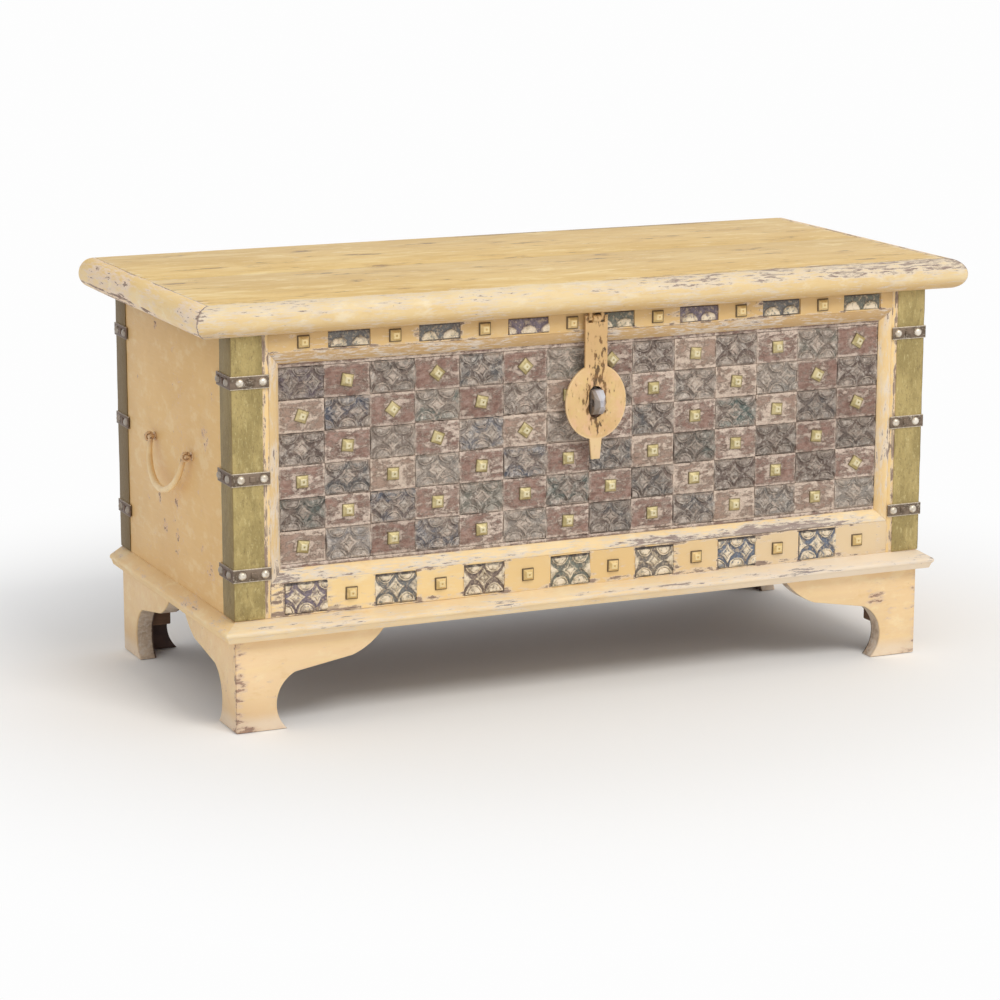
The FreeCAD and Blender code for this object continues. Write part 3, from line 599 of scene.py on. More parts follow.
def railCarving():
    f = Finish("railCarving")
    dye = f.node("Attribute", {"attribute_name": "dye"}, out="Color")
    speck = f.noise(330, detail=4, rough=0.7)
    blot = f.noise(110, detail=5, rough=0.7)
    chisel = f.noise((260, 260, 220), detail=5, rough=0.75)
    # the cut-down parts take the groove colour: the dye in the hollows, and a painted shade that darkens them
    cutDepth = f.y + (blot - 0.5) * 0.004 + (chisel - 0.5) * 0.005
    low = f.step(cutDepth, front["bodyFront"] - 0.0006, front["bodyFront"] + 0.0009)
    ridge = f.mix((242, 224, 196), (214, 196, 164), f.step(blot, 0.42, 0.6))
    ridge = f.mix(ridge, dye, f.step(blot + speck, 1.05, 1.16) * 0.7)
    groove = f.mix(dye, (84, 74, 76), f.step(speck, 0.42, 0.62) * 0.55)
    groove = f.mix(groove, (128, 104, 92), f.step(blot, 0.5, 0.62) * 0.4)
    groove = f.mix(groove, (206, 186, 158), f.step(chisel + (blot - 0.5) * 0.6, 0.51, 0.62) * 0.7)
    groove = f.mix(groove, (70, 62, 66), f.step(1 - chisel, 0.54, 0.64) * 0.5)
    ridge = f.mix(ridge, (170, 148, 124), f.step(1 - chisel, 0.55, 0.66) * 0.6)
    f.colour = f.mix(ridge, groove, low * 0.92)
    # painted shadow of the recess's top wall along the top edge of the rail tiles
    shade = f.band(f.z, 0.1539, 0.0010, 0.0012) + f.band(f.z, 0.4149, 0.0006, 0.0010)
    f.lay((84, 76, 74), shade * (0.5 + 0.45 * f.step(blot, 0.4, 0.55)))
    f.set(Base_Color=f.colour, Roughness=0.56 + speck * 0.2)
    f.bump(chisel * 0.8 + speck * 0.3 + blot * 0.3, 0.9, 0.0014)
    return f.material


def brassSheet():
    f = Finish("brassSheet")
    dimple = f.noise((330, 330, 120), detail=4, rough=0.65)
    cloud = f.noise((46, 46, 20), detail=4, rough=0.6)
    speck = f.noise((560, 560, 380), detail=3, rough=0.7)
    f.colour = f.mix((188, 167, 110), (162, 143, 91), f.step(cloud, 0.38, 0.62))
    f.wash((212, 195, 140), dimple, 0.54, 0.70, 0.6)
    f.wash((120, 102, 68), 1 - dimple, 0.56, 0.70, 0.5)
    f.wash((116, 100, 68), speck, 0.58, 0.68, 0.55)
    f.wash((226, 210, 160), 1 - speck, 0.62, 0.70, 0.5)
    side = f.step(abs(f.x), 0.4068, 0.4076)  # painted shade: the leg round the corner is darker
    f.lay((108, 86, 52), side * (0.6 + 0.3 * f.step(f.y, 0, 0.1)))
    f.set(Base_Color=f.colour, Metallic=0.38 - f.step(speck, 0.6, 0.7) * 0.25, Roughness=0.46 + speck * 0.2)
    f.bump(dimple * 0.8 + speck * 0.2, 0.7, 0.0014)
    return f.material


def brassStud():
    f = Finish("brassStud")
    cloud = f.noise(110, detail=3)
    speck = f.noise(480, detail=3, rough=0.7)
    high = front["panelFace"] - f.y
    rise = f.step(high, 0.0006, 0.0022)
    f.colour = f.mix((212, 196, 148), (180, 164, 114), f.step(cloud, 0.38, 0.62))
    # painted highlight on the flat top of the stud
    f.wash((238, 228, 196), high, 0.0042, 0.0053, 0.6)
    f.wash((116, 98, 56), 1 - speck, 0.56, 0.68, 0.5)
    f.colour = f.mix((96, 78, 48), f.colour, rise)
    f.set(Base_Color=f.colour, Metallic=0.45 - f.step(speck, 0.5, 0.7) * 0.2, Roughness=0.34 + speck * 0.22)
    f.bump(speck, 0.3, 0.0004)
    return f.material


def paintedStud():
    f = Finish("paintedStud")
    cloud = f.noise(120, detail=3)
    speck = f.noise(420, detail=4, rough=0.7)
    high = front["bodyFront"] - f.y
    rise = f.step(high, 0.0012, 0.0026)
    f.colour = f.mix((228, 196, 138), (210, 180, 118), f.step(cloud, 0.4, 0.6))
    f.wash((150, 128, 78), speck, 0.56, 0.68, 0.6)
    # painted highlight on the flat top of the stud
    f.wash((240, 218, 164), high, 0.0044, 0.0053, 0.7)
    f.colour = f.mix((92, 72, 46), f.colour, rise)
    f.set(Base_Color=f.colour, Metallic=rise * 0.2, Roughness=0.46 + speck * 0.15)
    f.bump(speck, 0.3, 0.0004)
    return f.material


def ironStrap():
    f = Finish("ironStrap")
    cloud = f.noise(60, detail=4, rough=0.65)
    speck = f.noise(400, detail=3, rough=0.7)
    f.colour = f.mix((136, 118, 101), (100, 85, 70), f.step(cloud, 0.38, 0.62))
    f.wash((190, 178, 162), speck + cloud, 1.08, 1.24, 0.7)
    inBand = ((f.z - 0.168) / 0.1005 + 0.5).fract() - 0.5
    edges = f.band(abs(inBand), 0.080, 0.012, 0.012)  # the long edges are lighter: worn bright metal, and a painted highlight
    f.lay((226, 214, 194), edges * (0.6 + 0.4 * f.step(speck, 0.42, 0.56)))
    side = f.step(abs(f.x), 0.4088, 0.4093)  # painted shade: the leg round the corner is darker and browner
    f.lay((100, 79, 68), side * 0.7)
    f.set(Base_Color=f.colour, Metallic=0.45 + f.step(cloud, 0.4, 0.6) * 0.2, Roughness=0.4 + speck * 0.2)
    f.bump(cloud * 0.6 + speck * 0.4, 0.5, 0.0006)
    return f.material


def nailDome():
    f = Finish("nailDome")
    speck = f.noise(380, detail=4, rough=0.7)
    cloud = f.noise(140, detail=2)
    f.colour = f.mix((240, 232, 218), (204, 191, 172), f.step(cloud, 0.4, 0.65))
    f.wash((104, 90, 82), speck, 0.6, 0.68, 0.8)
    # painted shade: the nails on the legs round the corners are darker
    f.lay((112, 98, 88), f.step(abs(f.x), 0.4085, 0.4095) * 0.7)
    f.set(Base_Color=f.colour, Metallic=0.75 - f.step(speck, 0.6, 0.68) * 0.4, Roughness=0.26 + speck * 0.25)
    f.bump(speck, 0.35, 0.0004)
    return f.material


def stapleIron():
    f = Finish("stapleIron")
    cloud = f.noise(90, detail=4, rough=0.65)
    speck = f.noise(420, detail=3, rough=0.7)
    f.colour = f.mix((200, 191, 181), (162, 151, 141), f.step(cloud, 0.4, 0.62))
    f.wash((104, 86, 68), speck + cloud, 1.12, 1.26, 0.8)
    # painted light and shade on the facets: the right-hand facets lighter and bluer, the left-hand ones and the bottom
    # darker, with a painted highlight at the upper right
    arris = f.x + (f.z - 0.321) * 0.12
    f.wash((190, 190, 202), arris, -0.0014, -0.0008, 0.6)
    f.lay((128, 116, 108), (1 - f.step(arris, -0.0018, -0.0010)) * 0.75)
    f.lay((122, 110, 98), (1 - f.step(f.z, 0.309, 0.316)) * 0.5)
    f.lay((204, 208, 216), f.step(f.x, 0.000, 0.002) * f.step(f.z, 0.322, 0.329) * 0.7)
    f.set(Base_Color=f.colour, Metallic=0.4 - f.step(speck, 0.55, 0.7) * 0.2, Roughness=0.34 + speck * 0.2)
    f.bump(cloud * 0.5 + speck * 0.5, 0.5, 0.0005)
    return f.material


def hingeIron():
    f = Finish("hingeIron")
    cloud = f.noise(70, detail=4, rough=0.65)
    speck = f.noise(420, detail=3, rough=0.7)
    f.colour = f.mix((96, 84, 76), (66, 56, 52), f.step(cloud, 0.38, 0.62))
    f.wash((140, 96, 66), speck + cloud, 1.16, 1.3, 0.7)
    f.set(Base_Color=f.colour, Metallic=0.5 - f.step(speck, 0.55, 0.7) * 0.3, Roughness=0.5 + speck * 0.2)
    f.bump(cloud * 0.5 + speck * 0.5, 0.5, 0.0005)
    return f.material


def haspPaint():
    f = Finish("haspPaint")
    cloud = f.noise(40, detail=3)
    fine = f.noise(160, detail=4, rough=0.6)
    chipGrain = f.noise((330, 330, 110), detail=5, rough=0.62)
    high = f.z - 0.321
    ring = (f.x * f.x * 3.2 + high * high * 0.7) * 1000
    slot = 1 - f.step(ring, 0.18, 1.15)
    strap = f.band(f.x, 0.004, 0.003, 0.008) * f.step(f.z, 0.338, 0.350) * (1 - f.step(f.z, 0.372, 0.39))
    crown = f.step(f.z, 0.402, 0.412) * 0.8 + f.band(f.z, 0.388, 0.002, 0.004) * 0.55
    amount = chipGrain + (slot * 0.17 + strap * 0.15 + crown * 0.14)
    rubbed = f.step(amount, 0.56, 0.65)
    chip = f.step(amount, 0.635, 0.70)
    f.colour = f.mix((226, 188, 134), (217, 176, 120), f.step(cloud, 0.36, 0.64))
    f.wash((236, 206, 158), fine, 0.54, 0.74, 0.5)
    blush = f.noise(75, detail=4, rough=0.6, shift=(0.2, 0.5, 0.1))
    f.wash((232, 186, 150), blush, 0.5, 0.66, 0.6)
    f.wash((222, 192, 124), 1 - blush, 0.52, 0.68, 0.6)
    # painted shade: the hasp is darker from the plate up along its strap
    f.wash((204, 166, 114), f.z, 0.345, 0.375, 0.75)
    f.lay((206, 168, 112), rubbed * 0.5)
    dark = f.mix((128, 92, 56), (84, 64, 46), f.step(fine, 0.4, 0.62))
    f.lay(dark, chip * 0.9)
    rim = f.step(f.x * f.x * 0.79 + high * high * 0.61, 0.00088, 0.00099) * (1 - f.step(f.z, 0.352, 0.360))
    f.lay((240, 212, 166), rim * 0.5)
    f.set(Base_Color=f.colour, Metallic=chip * 0.35, Roughness=0.44 + chip * 0.2)
    f.bump(fine * 0.5 - rubbed * 0.3 - chip * 0.6, 0.5, 0.0005)
    return f.material


def handlePaint():
    f = Finish("handlePaint")
    cloud = f.noise(50, detail=3)
    speck = f.noise(240, detail=5, rough=0.68)
    near = f.step(f.z, 0.256, 0.268)
    amount = speck + near * 0.12 + (cloud - 0.5) * 0.2
    chip = f.step(amount, 0.65, 0.69)
    f.colour = f.mix((246, 216, 164), (236, 202, 148), f.step(cloud, 0.38, 0.62))
    f.wash((248, 226, 184), speck, 0.5, 0.66, 0.5)
    f.lay((208, 172, 138), near * 0.6)
    f.lay((136, 100, 74), chip * 0.85)
    f.set(Base_Color=f.colour, Metallic=chip * 0.4, Roughness=0.42 + chip * 0.15)
    f.bump(speck * 0.5 - chip * 0.6, 0.45, 0.0005)
    return f.material


def deselectAll():
    if bpy.context.object and bpy.context.object.mode != "OBJECT":
        bpy.ops.object.mode_set(mode="OBJECT")
    bpy.ops.object.select_all(action="DESELECT")


def pick(piece):
    deselectAll()
    piece.select_set(True)
    bpy.context.view_layer.objects.active = piece


def startEdit(piece):
    pick(piece)
    bpy.ops.object.mode_set(mode="EDIT")
    bpy.ops.mesh.select_all(action="SELECT")


def endEdit():
    bpy.ops.object.mode_set(mode="OBJECT")


def settle(piece):
    # the place goes into the mesh and the object goes to the origin
    pick(piece)
    bpy.ops.object.transform_apply(location=True, rotation=True, scale=True)


def applyModifier(piece, kind, **settings):
    pick(piece)
    modifier = piece.modifiers.new("shape", kind)
    for key, setting in settings.items():
        setattr(modifier, key, setting)
    bpy.ops.object.modifier_apply(modifier=modifier.name)


def softEdges(piece, width, segments=2, angle=32):
    applyModifier(piece, "BEVEL", width=width, segments=segments, limit_method="ANGLE",
                  angle_limit=math.radians(angle), use_clamp_overlap=True)


def smooth(piece, angle=38):
    pick(piece)
    bpy.ops.object.shade_smooth_by_angle(angle=math.radians(angle))


def joinAll(name, pieces):
    pick(pieces[0])
    for piece in pieces:
        piece.select_set(True)
    if len(pieces) > 1:
        bpy.ops.object.join()
    joined = bpy.context.object
    joined.name = name
    joined.data.name = name
    return joined


def copyTo(model, place):
    # a copy with its own mesh, set down by a matrix
    twin = bpy.data.objects.new(model.name + "Copy", model.data.copy())
    twin.data.transform(place)
    bpy.context.scene.collection.objects.link(twin)
    return twin


def turnedAt(spot, turn):
    # turned about the line that looks out of the front
    return Matrix.Translation(spot) @ Matrix.Rotation(turn, 4, "Y")


def seatedAt(spot, outward):
    # the model's own up looks along outward
    turn = Vector((0, 0, 1)).rotation_difference(Vector(outward)).to_matrix().to_4x4()
    return Matrix.Translation(spot) @ turn


def remove(piece):
    bpy.data.objects.remove(piece)


def add(kind, name, scale=(1, 1, 1), **settings):
    # one of Blender's primitives, with its place and size put into the mesh
    deselectAll()
    getattr(bpy.ops.mesh, "primitive_" + kind + "_add")(**settings)
    piece = bpy.context.object
    piece.name = name
    piece.scale = scale
    settle(piece)
    return piece


def addBlock(name, low, high):
    middle = [(a + b) / 2 for a, b in zip(low, high)]
    return add("cube", name, [b - a for a, b in zip(low, high)], size=1, location=middle)


def selectFaces(piece, test):
    # in edit mode: only the faces whose middle and normal pass the test
    mesh = bmesh.from_edit_mesh(piece.data)
    bpy.ops.mesh.select_all(action="DESELECT")
    for face in mesh.faces:
        if test(face.calc_center_median(), face.normal):
            face.select = True
    mesh.select_flush_mode()
    bmesh.update_edit_mesh(piece.data)


def wobble(piece, amount, scale, axis, spacing):
    # old boards are not quite straight: one steady field moves every piece alike, so joints stay shut
    low = min(v.co[axis] for v in piece.data.vertices)
    high = max(v.co[axis] for v in piece.data.vertices)
    count = max(1, round((high - low) / spacing))
    normal = [0, 0, 0]
    normal[axis] = 1
    startEdit(piece)
    for k in range(1, count):
        spot = [0, 0, 0]
        spot[axis] = low + (high - low) * k / count
        bpy.ops.mesh.select_all(action="SELECT")
        bpy.ops.mesh.bisect(plane_co=spot, plane_no=normal)
    endEdit()
    for vertex in piece.data.vertices:
        vertex.co += noise.noise_vector(vertex.co * scale) * amount
    piece.data.update()


def wornCopy(nodeName, bevel, bend):
    # the carried-over board with its edges rubbed round
    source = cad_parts[nodeName]
    piece = bpy.data.objects.new(nodeName + "_worn", source.data.copy())
    bpy.context.scene.collection.objects.link(piece)
    piece.data.materials.clear()
    startEdit(piece)
    bpy.ops.mesh.remove_doubles(threshold=0.00001)
    bpy.ops.mesh.dissolve_limited(angle_limit=math.radians(1))
    endEdit()
    if piece.data.has_custom_normals:
        bpy.ops.mesh.customdata_custom_splitnormals_clear()
    softEdges(piece, bevel)
    if bend:
        wobble(piece, *bend)
    smooth(piece)
    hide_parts(nodeName)
    return piece


def finishPiece(piece, material, body):
    piece.data.materials.clear()
    piece.data.materials.append(material)
    for face in piece.data.polygons:
        face.material_index = 0
    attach(piece, body)
    return piece


print("paints")
bareInside = (112, 86, 68)
openJoint = (112, 88, 70)
creamX = wornPaint("creamRail", paint(
    tone=(248, 216, 157), second=(245, 211, 151), grime=(238, 202, 143), level=0.68, edge=0.16,
    stains=((stainRail, (220, 182, 124)), (stainRailEnd, (226, 204, 172)), (insideFront, bareInside))), wearRail)
# the top rail carries a painted shadow of the lid
creamTop = wornPaint("creamTopRail", paint(
    level=0.685, edge=0.14, shift=(0.7, 0, 0.2),
    stains=((lidShadowOnTopRail, (204, 166, 112)), (insideFront, bareInside))), wearTopRail)
creamZ = wornPaint("creamStile", paint(
    grain="Z", level=0.69, edge=0.2, stains=((insideFront, bareInside),)), wearStile)
# the front edge gets a painted highlight on its crown and painted shade on its lower part
lidEdgeLong = wornPaint("lidEdgeLong", paint(
    tone=(233, 205, 153), second=(228, 197, 142), streak=(237, 216, 174), pale=(241, 225, 194),
    grime=(217, 183, 129), rub=(228, 214, 198), chip=(156, 136, 128), deep=(118, 95, 90), level=0.67,
    stains=((crownHighlight, (246, 230, 192)), (lidFrontLowShade, (206, 166, 106)), (mitreGap, openJoint)),
    edge=0.13, chipLong=60, chipWide=400, mottles=0.65, rubWide=0.17), wearLidEdge)
lidEdgeEnd = wornPaint("lidEdgeEnd", paint(
    grain="Y", tone=(249, 219, 162), second=(242, 210, 151), streak=(249, 228, 186), pale=(250, 234, 204),
    rub=(242, 222, 210), chip=(134, 108, 96), deep=(98, 76, 66), level=0.67, edge=0.14, chipLong=46,
    chipWide=310, mottles=0.7, patchy=0.75, rubWide=0.2,
    stains=((stainLidEnd, (230, 192, 116)), (mitreGap, openJoint), (lidEndShadowLine, (124, 94, 62)),
            (seamLine, (116, 92, 74)))), wearLidEnd)
baseLong = wornPaint("baseLong", paint(
    tone=(245, 219, 176), second=(241, 212, 166), streak=(246, 228, 194), rub=(236, 222, 206),
    chip=(152, 142, 142), deep=(128, 112, 108), level=0.67, edge=0.15, chipLong=45, chipWide=340, rubWide=0.15,
    stains=((stainBase, (240, 224, 204)),)), wearBase)
baseEnd = wornPaint("baseEnd", paint(
    grain="Y", tone=(244, 210, 156), second=(237, 202, 147), rub=(230, 208, 190), level=0.69,
    edge=0.12), wearBase)
footLook = paint(
    tone=(244, 212, 167), second=(239, 206, 158), rub=(228, 200, 174), chip=(172, 136, 114), deep=(134, 104, 94),
    level=0.70, edge=0.16, patchy=0.4, stains=((stainFoot, (210, 174, 130)), (paleSole, (236, 222, 204))))
footLong = wornPaint("footLong", footLook, wearFoot, depthLong)
footEnd = wornPaint("footEnd", footLook, wearFoot, depthEnd)
endPaint = wornPaint("endPaint", paint(
    grain="Y", tone=(234, 194, 133), second=(228, 187, 127), streak=(237, 201, 143), grime=(219, 179, 120),
    rub=(228, 194, 168), chip=(146, 114, 98), deep=(108, 82, 72), level=0.71, chipLong=150, chipWide=190,
    streaks=0.12, fines=0.12, mottles=0.3, grimes=0.3, patchy=0.25, spots=0.78, edge=0.16,
    stains=((insideEnd, bareInside),)), wearEnd)
# the top bead carries grime and a painted shadow of the lid
beadLong = wornPaint("beadLong", paint(
    tone=(246, 218, 168), second=(243, 212, 160), pale=(248, 234, 208), rub=(226, 214, 200),
    chip=(154, 134, 128), deep=(116, 96, 92), level=0.665, edge=0.12, chipLong=60, chipWide=400,
    rubs=0.85, rubWide=0.16,
    stains=((lidShadowAndGrimeOnBead, (196, 160, 112)),)), wearBead)
beadUp = wornPaint("beadUp", paint(
    grain="Z", tone=(239, 206, 151), second=(233, 199, 144), pale=(247, 230, 198), rub=(232, 219, 205),
    chip=(152, 134, 130), level=0.67, edge=0.13, chipLong=45, chipWide=240, rubWide=0.16,
    stains=((stainBeadLeft, (204, 174, 128)),)), wearBeadUp)
bareX = bareWood("bareBoards", "X", (126, 98, 78), (94, 70, 56), (70.18, 51.47, 40.56))
bareY = bareWood("bareBattens", "Y", (132, 104, 82), (98, 74, 60), (73.30, 54.59, 43.68))
lidTopPaint = lidTop()
panelBrown = panelPaint()
carvedTone = carvedPaint()
railTone = railCarving()
brassTone = brassSheet()
studTone = brassStud()
railStudTone = paintedStud()
strapTone = ironStrap()
nailTone = nailDome()
stapleTone = stapleIron()
hingeTone = hingeIron()
haspTone = haspPaint()
handleTone = handlePaint()

boards = {
    "bend": 0.0006, "bendScale": 7,
    "long": 0.045,  # spacing of the cuts that let a board waver
    "brassBend": (0.00035, 60, 2, 0.012),
    "stapleFacets": 12,  # degrees
}
bendX, bendY, bendZ = ((boards["bend"], boards["bendScale"], axis, boards["long"]) for axis in range(3))

print("boards")
dressed = [  # nodes, finish, body, slot, width of the rubbed edge, waver
    (("side_board_left", "side_board_right"), endPaint, "trunk", "end_wood", 0.0008, None),
    (("back_board_lower", "back_board_upper"), bareX, "trunk", "bare_wood", 0.0012, None),
    (("bottom_board_front", "bottom_board_rear"), bareX, "trunk", "bare_wood", 0.0012, None),
    (("front_stile_left", "front_stile_right"), creamZ, "trunk", "cream_paint", 0.0009, None),
    (("front_top_rail",), creamTop, "trunk", "cream_paint", 0.0005, None),
    (("front_bottom_rail",), creamX, "trunk", "cream_paint", 0.0005, None),
    (("panel_bead_top", "panel_bead_bottom"), beadLong, "trunk", "cream_paint", 0.0006, bendX),
    (("panel_bead_left", "panel_bead_right"), beadUp, "trunk", "cream_paint", 0.0006, bendZ),
    (("base_moulding_front",), baseLong, "trunk", "cream_paint", 0.0008, bendX),
    (("base_moulding_left", "base_moulding_right"), baseEnd, "trunk", "cream_paint", 0.0008, bendY),
    (("base_rail_back",), bareX, "trunk", "bare_wood", 0.001, None),
    (("foot_blocks",), bareX, "trunk", "bare_wood", 0.0015, None),
    (("lid_plank_front", "lid_plank_rear"), lidTopPaint, "lid", "lid_wood", 0.0006, None),
    (("lid_edge_front",), lidEdgeLong, "lid", "cream_paint", 0.0008, bendX),
    (("lid_edge_left", "lid_edge_right"), lidEdgeEnd, "lid", "cream_paint", 0.0008, bendY),
    (("lid_rim_rails",), bareX, "lid", "bare_wood", 0.001, None),
    (("lid_battens",), bareY, "lid", "bare_wood", 0.0015, None),
    (("corner_straps_front", "corner_straps_back"), strapTone, "trunk", "dark_iron", 0.0005, None),
    (("hinge_leaves_lower",), hingeTone, "trunk", "dark_iron", 0.0004, None),
    (("hinge_leaves_upper",), hingeTone, "lid", "dark_iron", 0.0004, None),
    (("hasp",), haspTone, "hasp", "painted_iron", 0.0007, None),
    (("hasp_eye",), haspTone, "lid", "painted_iron", 0.0004, None),
    (("lock_staple",), stapleTone, "trunk", "dark_iron", 0.0003, None),
]
for corner in ("front_left", "front_right", "back_left", "back_right"):
    dressed += [
        (("brass_angle_" + corner,), brassTone, "trunk", "brass", 0.0003, boards["brassBend"]),
        (("foot_" + corner + "_long",), footLong, "trunk", "cream_paint", 0.0012, None),
        (("foot_" + corner + "_end",), footEnd, "trunk", "cream_paint", 0.0012, None),
    ]
for nodeNames, material, body, slotName, bevel, bend in dressed:
    for nodeName in nodeNames:
        made = finishPiece(wornCopy(nodeName, bevel, bend), material, body)
        if nodeName == "lock_staple":
            smooth(made, boards["stapleFacets"])
for nodeName in ("hinge_pins", "hinge_nails_body", "hinge_nails_lid"):
    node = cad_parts[nodeName]
    node.data.materials.clear()
    node.data.materials.append(hingeTone)


panel = {
    "sink": 0.0016,     # depth of the seams
    "lap": 0.0004, "gap": 0.0002, "edge": 0.0005,
    "uneven": 0.00025, "tilt": 0.004, "seed": 11,
}


def plainPanel():
    rng = random.Random(panel["seed"])
    face = front["panelFace"]
    ground = face + panel["sink"]
    blocks = [addBlock("panelBoard", (-front["openHalf"], ground, front["openLow"]),
                       (front["openHalf"], front["panelBack"], front["openHigh"]))]
    model = addBlock("cellBlock", (-0.5, -1, -0.5), (0.5, 0, 0.5))
    for row in range(1, front["rows"] + 1):
        for column in range(front["columns"]):
            if isCarved(row, column):
                continue
            x, z = cellMiddle(row, column)
            deep = panel["sink"] + panel["lap"] + rng.uniform(-1, 1) * panel["uneven"]
            size = Matrix.Diagonal((front["cellX"] - panel["gap"], deep, front["cellZ"] - panel["gap"], 1))
            block = copyTo(model, Matrix.Translation((x, ground + panel["lap"], z)) @ size)
            tilt = rng.uniform(-1, 1) * panel["tilt"]
            for vertex in block.data.vertices:
                vertex.co.y += (vertex.co.z - z) * tilt
            softEdges(block, panel["edge"])
            blocks.append(block)
    remove(model)
    rimHigh = front["sightHigh"] - front["margin"]
    rimLow = front["sightLow"] + front["margin"]
    lap = panel["lap"]
    for low, high in ((rimHigh + lap, front["openHigh"]), (front["openLow"], rimLow - lap)):
        strip = addBlock("panelRim", (-front["openHalf"], face, low), (front["openHalf"], ground + lap, high))
        softEdges(strip, panel["edge"])
        blocks.append(strip)
    piece = joinAll("front_panel_cells", blocks)
    smooth(piece)
    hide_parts("front_panel")
    return finishPiece(piece, panelBrown, "trunk")


print("panel")
plainPanel()


tile = {
    "ground": 0.0010,      # plate under the figures
    "rise": 0.0016,        # depth of the plate under the face
    "crown": 0.0012,       # figures stand this proud of the face
    "moonHigh": 0.0104,
    "moonWide": 0.222,     # radius of a half moon, as a share of the tile's width
    "moonEdge": 0.0005,    # from the tile's edge to a half moon's flat side
    "starHigh": 0.0128, "pinch": 2.6,
    "moon": ((0.94, 0.5), (0.92, 0.35), (0.93, 0), (0.92, -0.4), (0.94, 0), (0.9, 0.35), (0.75, 0.17), (0.5, 0.03)),
    "star": ((0.9, 0.45), (0.85, 0.35), (0.8, 0), (0.8, -0.35), (0.85, 0.35), (0.6, 0.2)),
    "hill": ((0.93, 0.34), (0.90, 0.26), (0.86, 0.2), (0.78, 0.13), (0.6, 0.07)),
    "plateUp": 0.0003, "plateEdge": 0.0003, "seam": 0.0004,
    "rough": 0.0008,       # unevenness of hand cutting
    "jogX": 0.0008, "jogZ": 0.0006, "turn": 0.02, "seed": 5,
    "commonDyes": ("grey", "green", "slate", "umber"),
    "shifted": {(1, 0), (2, 1), (2, 5), (2, 11), (3, 4), (4, 7), (5, 2), (5, 8), (6, 3), (6, 11),
                (0, 5), (7, 0), (7, 10)},
}
dyes = {
    "grey": (116, 110, 104), "slate": (106, 112, 116), "green": (104, 114, 104), "blue": (84, 106, 134),
    "teal": (82, 116, 112), "violet": (120, 108, 128), "umber": (122, 102, 94),
}
dyed = {
    (1, 0): "violet", (1, 4): "slate", (2, 1): "blue", (2, 3): "teal", (2, 11): "slate", (3, 4): "blue",
    (3, 10): "teal",
    (4, 3): "slate", (4, 5): "blue", (4, 9): "teal", (5, 2): "blue", (5, 6): "teal", (5, 0): "teal", (6, 1): "blue",
    (6, 3): "blue", (6, 5): "slate", (6, 9): "slate", (3, 2): "umber", (3, 0): "umber", (4, 11): "grey",
    (0, 1): "slate", (0, 3): "slate", (0, 5): "violet", (0, 9): "violet", (0, 11): "slate", (7, 0): "violet",
    (7, 2): "slate", (7, 10): "blue", (7, 12): "blue",
}


def raiseFigure(steps, height, middle):
    # each step lifts a copy of the outer face and draws it in towards the middle
    for size, rise in steps:
        bpy.ops.mesh.extrude_region_move(TRANSFORM_OT_translate={"value": (0, -rise * height, 0)})
        bpy.ops.transform.resize(value=(size, 1, size), center_override=middle)


def addFigure(name, count, radius):
    return add("circle", name, vertices=count, radius=radius, fill_type="NGON", rotation=(math.pi / 2, 0, 0))


def halfMoon(x, edge, up, wide, high, steps):
    radius = wide * tile["moonWide"]
    piece = addFigure("halfMoon", 28, radius)
    startEdit(piece)
    bpy.ops.mesh.bisect(plane_co=(0, 0, 0), plane_no=(0, 0, 1), clear_inner=True)
    bpy.ops.mesh.select_all(action="SELECT")
    bpy.ops.transform.resize(value=(1, 1, high / radius), center_override=(0, 0, 0))
    raiseFigure(steps, tile["rise"] + tile["crown"], (0, 0, high * 0.3))
    endEdit()
    spin = Matrix.Identity(4) if up else Matrix.Rotation(math.pi, 4, "Y")
    piece.data.transform(Matrix.Translation((x, 0, edge)) @ spin)
    return piece


def starDiamond(x, z, wide, steps):
    piece = addFigure("starDiamond", 24, 1)
    for vertex in piece.data.vertices:
        across, tall = vertex.co.x, vertex.co.z
        vertex.co.x = (wide / 4 - 0.0002) * math.copysign(abs(across) ** tile["pinch"], across)
        vertex.co.z = tile["starHigh"] * math.copysign(abs(tall) ** tile["pinch"], tall)
    startEdit(piece)
    raiseFigure(steps, tile["rise"] + tile["crown"] * 0.7, (0, 0, 0))
    endEdit()
    piece.data.transform(Matrix.Translation((x, 0, z)))
    return piece


def carvedTile(name, wide, high, whole, shifted):
    # half moons along the long edges, pointed stars between them, cut off at the tile's sides
    halfW = wide / 2
    halfH = high / 2
    moonHigh = min(tile["moonHigh"], high * 0.39) if whole else high * 0.58
    moonSpots = (-wide / 2, 0, wide / 2) if shifted else (-wide / 4, wide / 4)
    starSpots = (-wide / 4, wide / 4) if shifted else (-wide / 2, 0, wide / 2)
    figures = []
    for x in moonSpots:
        steps = tile["moon"] if whole else tile["hill"]
        figures.append(halfMoon(x, -halfH + tile["moonEdge"], True, wide, moonHigh, steps))
        if whole:
            figures.append(halfMoon(x, halfH - tile["moonEdge"], False, wide, moonHigh, steps))
    for x in starSpots if whole else ():
        figures.append(starDiamond(x, 0, wide, tile["star"] if abs(x) < wide * 0.4 else tile["hill"]))
    cover = joinAll("figures", figures)
    startEdit(cover)
    for spot, normal in (((-halfW, 0, 0), (-1, 0, 0)), ((halfW, 0, 0), (1, 0, 0)), ((0, 0, halfH), (0, 0, 1))):
        bpy.ops.mesh.select_all(action="SELECT")
        bpy.ops.mesh.bisect(plane_co=spot, plane_no=normal, clear_outer=True, use_fill=True)
    endEdit()
    plate = addBlock("plate", (-halfW, -tile["plateUp"], -halfH), (halfW, tile["ground"], halfH))
    softEdges(plate, tile["plateEdge"], 1)
    piece = joinAll(name, [plate, cover])
    smooth(piece, 50)
    return piece


